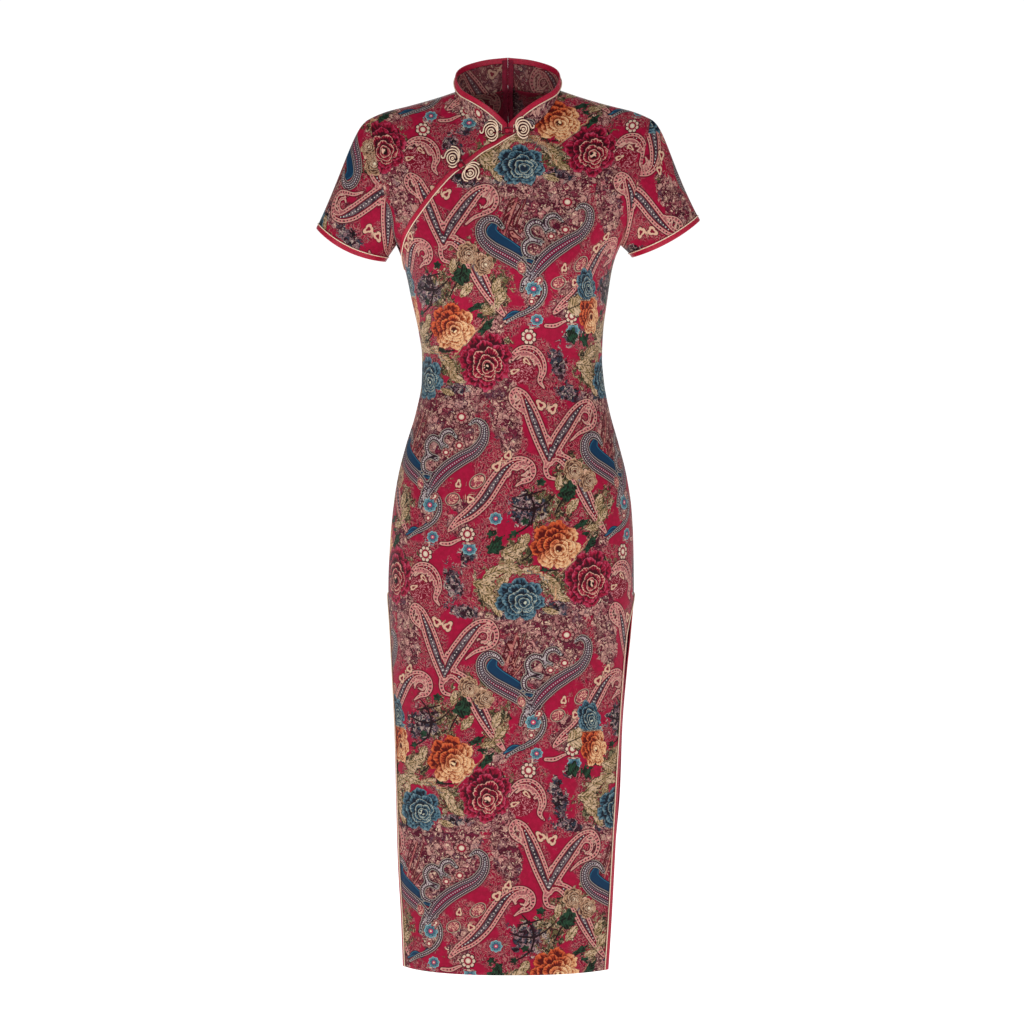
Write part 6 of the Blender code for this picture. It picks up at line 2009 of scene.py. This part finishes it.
@dataclass
class Zip:
    """The tapes behind the centre back's edges and their coils; the slider and its pull keep their own solids."""

    form: BodyForm
    finish: bpy.types.Material
    coil_finish: bpy.types.Material
    made: dict[str, bpy.types.Object] = field(default_factory=dict)
    coils: list[bpy.types.Object] = field(default_factory=list)
    rows: list[tuple[np.ndarray, np.ndarray]] = field(default_factory=list)

    def build(self) -> None:
        """Makes both tapes, their coils and the lines that they are sewn along."""
        for side, who in SIDES:
            across, proud = np.array(TAPE_COLUMNS).T
            heights = np.linspace(ZIP_BOTTOM, NECK_HEIGHT + ZIP_REACH, ZIP_ROWS)
            rows, normals = [], []
            top = self.form.neck_place(Face.BACK, np.array(NECK_EDGE_TURN), side)[1]
            for height in heights[heights < top]:
                places = joined(self.form.centre_back(side, height, across), height)
                rows.append(self.form.skin(Face.BACK, places))
                normals.append(self.form.normals(Face.BACK, places))
            turns = 180 - np.degrees(np.arcsin(across / NECK_HALF_WIDTH))
            for up in np.linspace(*TAPE_ON_COLLAR):
                rows.append(self.form.collar_point(side, turns, up))
                normals.append(self.form.collar_normal(side, turns, up))
            points, normals = np.array(rows), np.array(normals)
            nape = np.exp(-(((points[:, :1, 2] - NECK_HEIGHT) / NAPE_SPREAD) ** 2))
            behind = (CLOTH + TAPE_BEHIND + NAPE_TUCK * nape)[..., None] + (proud - TAPE_FLUSH)[None, :, None]
            outer = points - behind * normals
            flat = joined(across, run_of(outer[:, 0])[:, None])
            thick = np.full((*outer.shape[:2], 1), TAPE_THICK)
            name = f"zip_tape_{who}"
            self.made[name] = shell(name + "_cloth", Grid(outer, normals, flat), thick, self.finish)
            self.rows.append((outer[:, TAPE_SEWN] - TAPE_THICK * normals[:, TAPE_SEWN], -normals[:, TAPE_SEWN]))
            self.coils.append(self.coil(side, who, outer, normals))

    def coil(self, side: int, who: str, outer: np.ndarray, normals: np.ndarray) -> bpy.types.Object:
        """The nylon coil along one tape's edge, wound flat, its turns between those of the other side.

        Args:
            side: -1 for the wearer's right, 1 for the left.
            who: the side's name.
            outer, normals: the tape's outer face.

        Returns:
            The coil.
        """
        middle = outer[:, COIL_COLUMN] - (TAPE_THICK + COIL_DEEP) * normals[:, COIL_COLUMN]
        aside = unit(outer[:, COIL_COLUMN + 1] - outer[:, COIL_COLUMN - 1])
        along = run_of(middle)
        wanted = np.arange(0.0, along[-1], COIL_PITCH / COIL_STEPS)
        turn = wanted[:, None] * 2 * np.pi / COIL_PITCH + (np.pi if side > 0 else 0.0)
        flat_way, deep_way = sampled(aside, along, wanted), sampled(normals[:, COIL_COLUMN], along, wanted)
        line = sampled(middle, along, wanted)
        line = line + flat_way * COIL_WIDE * np.cos(turn) + deep_way * COIL_DEEP * np.sin(turn)
        return add_cord(f"zip_coil_{who}", line, COIL_RADIUS, self.coil_finish, fineness=0)


# ---------------------------------------------------------------- sewing

BESIDE_PIPING = 1.05
# From one stitch to the next, and how much of that the thread shows
BINDING_STITCH, HEM_STITCH, TAPE_STITCH = (2.8, 0.62), (7.0, 0.14), (2.8, 0.7)
HEM_ROW = 6  # the row of the panels that the hem's blind stitches catch, 24 mm up


@dataclass
class Sewing:
    """The stitches that show: beside each piping, through the hems and down the zip tapes."""

    trim: Trim
    panels: Panels
    closure: Zip
    thread: bpy.types.Material
    made: list[bpy.types.Object] = field(default_factory=list)

    def beside(self, grid: Grid) -> tuple[np.ndarray, np.ndarray]:
        """The row of stitches in the cloth just outside a binding's piping."""
        points, normals = grid.points, grid.normals
        joint, edge = (points[0], points[-1]) if grid.closed else (points[:, 0], points[:, -1])
        out = normals[0] if grid.closed else normals[:, 0]
        away = edge - joint
        away = unit(away - out * np.sum(away * out, axis=-1, keepdims=True))
        return joint - away * BESIDE_PIPING - out * (BIND_THICK * BIND_SECTION[0][1] - CLOTH) / 2, out

    def build(self) -> None:
        """Makes the stitches, one piece for each kind of seam."""
        bound = [self.beside(grid) for grid in self.trim.grids.values()]
        hems = [
            (grid.points[HEM_ROW], grid.normals[HEM_ROW])
            for node, grid in self.panels.grids.items()
            if node != "front_underlap"
        ]
        self.made = [
            add_stitches("stitches_binding", bound, *BINDING_STITCH, self.thread),
            add_stitches("stitches_hem", hems, *HEM_STITCH, self.thread),
            add_stitches("stitches_tape", self.closure.rows, *TAPE_STITCH, self.thread),
        ]


# ---------------------------------------------------------------- finishes


@dataclass(frozen=True)
class Satin:
    """Plain dyed polyester: slanting floats that catch the light, painted shade between them, and a random unevenness
    along the slubs.
    """

    name: str
    colour: str
    # the deep colour is painted shade between the floats
    deep: str  # the colour between the threads
    roughness: float = 0.42
    # From one float to the next, in millimetres: a real float is 0.1 to 0.2 mm wide and would not show, so it is
    # drawn several times as coarse
    pitch: float = 0.5

    def make(self) -> bpy.types.Material:
        """Builds the material."""
        g = Graph(self.name)
        place = g.millimetres(g.add("ShaderNodeTexCoord")["Object"])
        threads = g.woven(place, self.pitch, self.roughness, 0.15)
        # painted shade: the deep colour shows where the threads sink between the floats, uneven along the slubs
        return g.shade(Base_Color=g.paint(self.deep, (threads, self.colour)), IOR=1.5, Specular_IOR_Level=0.3)


@dataclass(frozen=True)
class Metal:
    """Nickel plated die cast zinc, tumbled smooth and lightly worn, as on zip sliders."""

    name: str
    colour: str = "#C9C4BC"
    worn: str = "#A39C92"
    roughness: float = 0.28

    def make(self) -> bpy.types.Material:
        """Builds the material."""
        g = Graph(self.name)
        place = g.millimetres(g.add("ShaderNodeTexCoord")["Object"])
        wear = g.woven(place, 0.9, self.roughness, 0.02)
        return g.shade(Base_Color=g.paint(self.worn, (wear, self.colour)), Metallic=1.0)


# ---------------------------------------------------------------- studio

FLOOR_LEVEL, FLOOR_SIZE = -1.51, 60.0  # the hem hangs 0.3 m above the floor
BACKDROP = 1.05  # strength of the white that the camera sees behind the floor's edge
WHITE = (1.0, 1.0, 1.0, 1.0)
SENSOR = 36.0  # in millimetres
WAIST = (0.0, 0.0, -0.5)
# Name, place, side and power of each lamp, in metres and watts
LAMPS = (
    ("key", (-1.4, -3.4, 1.5), 1.6, 38.0),
    ("fill", (2.6, -2.6, 0.3), 2.2, 11.0),
    ("rim", (0.4, 2.6, 1.2), 2.0, 20.0),
)


@dataclass
class Studio:
    """A pale floor, a bright room and soft lamps, seen by a long lens from a little above the waist."""

    distance: float = 4.1
    aim: tuple[float, float, float] = (0.0028, 0.0, -0.578)
    rise: float = 0.37
    room: float = 0.27  # strength of the light that comes from all round
    view: float = 1.413  # how much the camera takes in across, at the dress, in metres

    def build(self) -> None:
        """Makes the floor, the world, the lamps and the camera."""
        bpy.ops.object.select_all(action="DESELECT")
        bpy.ops.mesh.primitive_plane_add(size=FLOOR_SIZE, location=(0, 0, FLOOR_LEVEL))
        floor = bpy.context.view_layer.objects.active
        floor.name = "floor"
        # matt paper that glows a little, which keeps the floor as pale as the wall behind it
        paper = Graph("white studio paper")
        floor.data.materials.append(
            paper.shade(Base_Color="#F4F3F2", Roughness=0.9, Emission_Color=WHITE, Emission_Strength=0.9)
        )
        world_light = bpy.data.worlds.new("room")
        bpy.context.scene.world = world_light
        world_light.use_nodes = True
        tree = world_light.node_tree
        tree.nodes["Background"].inputs["Color"].default_value = WHITE
        seen = tree.nodes.new("ShaderNodeLightPath")
        strength = tree.nodes.new("ShaderNodeMapRange")
        strength.inputs["To Min"].default_value, strength.inputs["To Max"].default_value = self.room, BACKDROP
        tree.links.new(seen.outputs["Is Camera Ray"], strength.inputs["Value"])
        tree.links.new(strength.outputs[0], tree.nodes["Background"].inputs["Strength"])
        bpy.context.scene.view_settings.view_transform = "Standard"
        for name, place, size, power in LAMPS:
            self.lamp(name, place, size, power)
        data = bpy.data.cameras.new("camera")
        data.sensor_width = SENSOR
        data.lens = SENSOR * self.distance / self.view
        data.clip_end = 100.0
        camera = linked("camera", data)
        camera.location = (self.aim[0], -self.distance, self.aim[2] + self.rise)
        self.point_at(camera, self.aim)
        bpy.context.scene.camera = camera

    def point_at(self, thing: bpy.types.Object, target: tuple[float, float, float]) -> None:
        """Turns a lamp or the camera so that its -Z axis meets the target."""
        way = bpy.data.objects[thing.name].location
        direction = type(way)(target) - way
        thing.rotation_euler = direction.to_track_quat("-Z", "Y").to_euler()

    def lamp(self, name: str, place: tuple[float, float, float], size: float, power: float) -> None:
        """Adds one square soft lamp that faces the dress."""
        data = bpy.data.lights.new(name, "AREA")
        data.shape = "SQUARE"
        data.size = size
        data.energy = power
        lamp = linked(name, data)
        lamp.location = place
        self.point_at(lamp, WAIST)


# ---------------------------------------------------------------- the dress

# Where on the printed cloth each piece is cut, from the tile's corner
PRINT_SHIFT = {
    "front": (91.0, -444.4),
    "front_underlap": (91.0, -444.4),
    "back_right": (10.0, -520.0),
    "back_left": (10.0, -520.0),
    "collar_right": (60.0, -900.0),
    "collar_left": (30.0, -900.0),
    "sleeve_right": (22.0, 72.0),
    "sleeve_left": (-25.5, 62.0),
}


@dataclass
class Dress:
    """The whole dress."""

    form: BodyForm = field(default_factory=BodyForm)

    def build(self) -> None:
        """Makes every piece and says what it stands for."""
        # printed satin: crowded reds under a soft sheen, which the even red of the trimmings frames
        printed = PrintedSatin().make()
        # crimson satin on the bias: the brightest red of the dress, with a soft highlight along each fold
        satin = Satin("crimson satin bias", "#C2143C", "#980A2C", 0.34).make()
        # cream satin over cotton cord: the fine light line that draws every edge
        cream = Satin("cream satin piping", "#FFE9D2", "#E6C4A2", 0.42).make()
        # satin cord dyed dark red: the shadow between the cream lines of a frog
        dark = Satin("dark red satin cord", "#84142C", "#520A1A", 0.42).make()
        # polyester herringbone tape: matt and dull beside the satin
        tape = Satin("crimson zip tape", "#941838", "#5C0A20", 0.78, pitch=1.1).make()
        # nylon monofilament: harder and shinier than the tape that it is woven into
        nylon = Satin("crimson nylon coil", "#A81A3C", "#7A0E2A", 0.3, pitch=0.8).make()
        # spun polyester thread, a shade deeper than the binding
        thread = Satin("crimson sewing thread", "#8E1230", "#5A0A1E", 0.6, pitch=0.35).make()
        # bright metal, the only hard shine on the dress
        metal = Metal("nickel plated zinc").make()
        panels, collar, trim = Panels(self.form, printed), Collar(self.form, printed), Trim(self.form, satin, cream)
        sleeves = [Sleeve(self.form, printed, side, who, trim) for side, who in SIDES]
        frogs, closure = Frogs(self.form, trim, dark, satin, cream), Zip(self.form, tape, nylon)
        sewing = Sewing(trim, panels, closure, thread)
        for assembly in (panels, collar, trim, *sleeves, frogs, closure, sewing):
            assembly.build()
        for piece in (*closure.coils, *sewing.made):
            self.place(piece, "tape" if piece in closure.coils else "binding")
        sheets = (panels, collar, *sleeves)
        cloth = {node: piece for part in sheets for node, piece in part.made.items()}
        grids = {node: grid for part in sheets for node, grid in part.grids.items()}
        pattern = Print()
        for node, piece in cloth.items():
            self.claim(piece, "print", node)
            flat = grids[node].flat
            flat = flat[:, :-1] if grids[node].closed else flat
            pattern.dress(piece, flat, PRINT_SHIFT[node], node.startswith("sleeve"), node.startswith("collar"))
        trimmings = {"binding": trim.bindings, "piping": trim.pipings, "frog": frogs.made, "tape": closure.made}
        for slot, nodes in trimmings.items():
            for node, made in nodes.items():
                for piece in made if isinstance(made, list) else [made]:
                    self.claim(piece, slot, node)
        for node in ("zip_slider", "zip_pull"):
            shown = frame["nodes"][node]
            for slot in shown.material_slots:
                slot.material = metal
            LOG.info("%s: %s", node, metal.name)

    def place(self, piece: bpy.types.Object, slot: str) -> None:
        """Ties a piece to the dress's body, and reports it with its slot."""
        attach(piece, DRESS)
        LOG.info("%s: %s, %d faces", piece.name, slot, len(piece.data.polygons))

    def claim(self, piece: bpy.types.Object, slot: str, node: str) -> None:
        """Places a piece and hides the solid that it stands for."""
        self.place(piece, slot)
        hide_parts(node)


def main() -> None:
    """Builds the dress and the studio."""
    logging.basicConfig(level=logging.INFO)
    Dress().build()
    Studio().build()
    LOG.info("studio built")


if __name__ == "__main__":
    main()
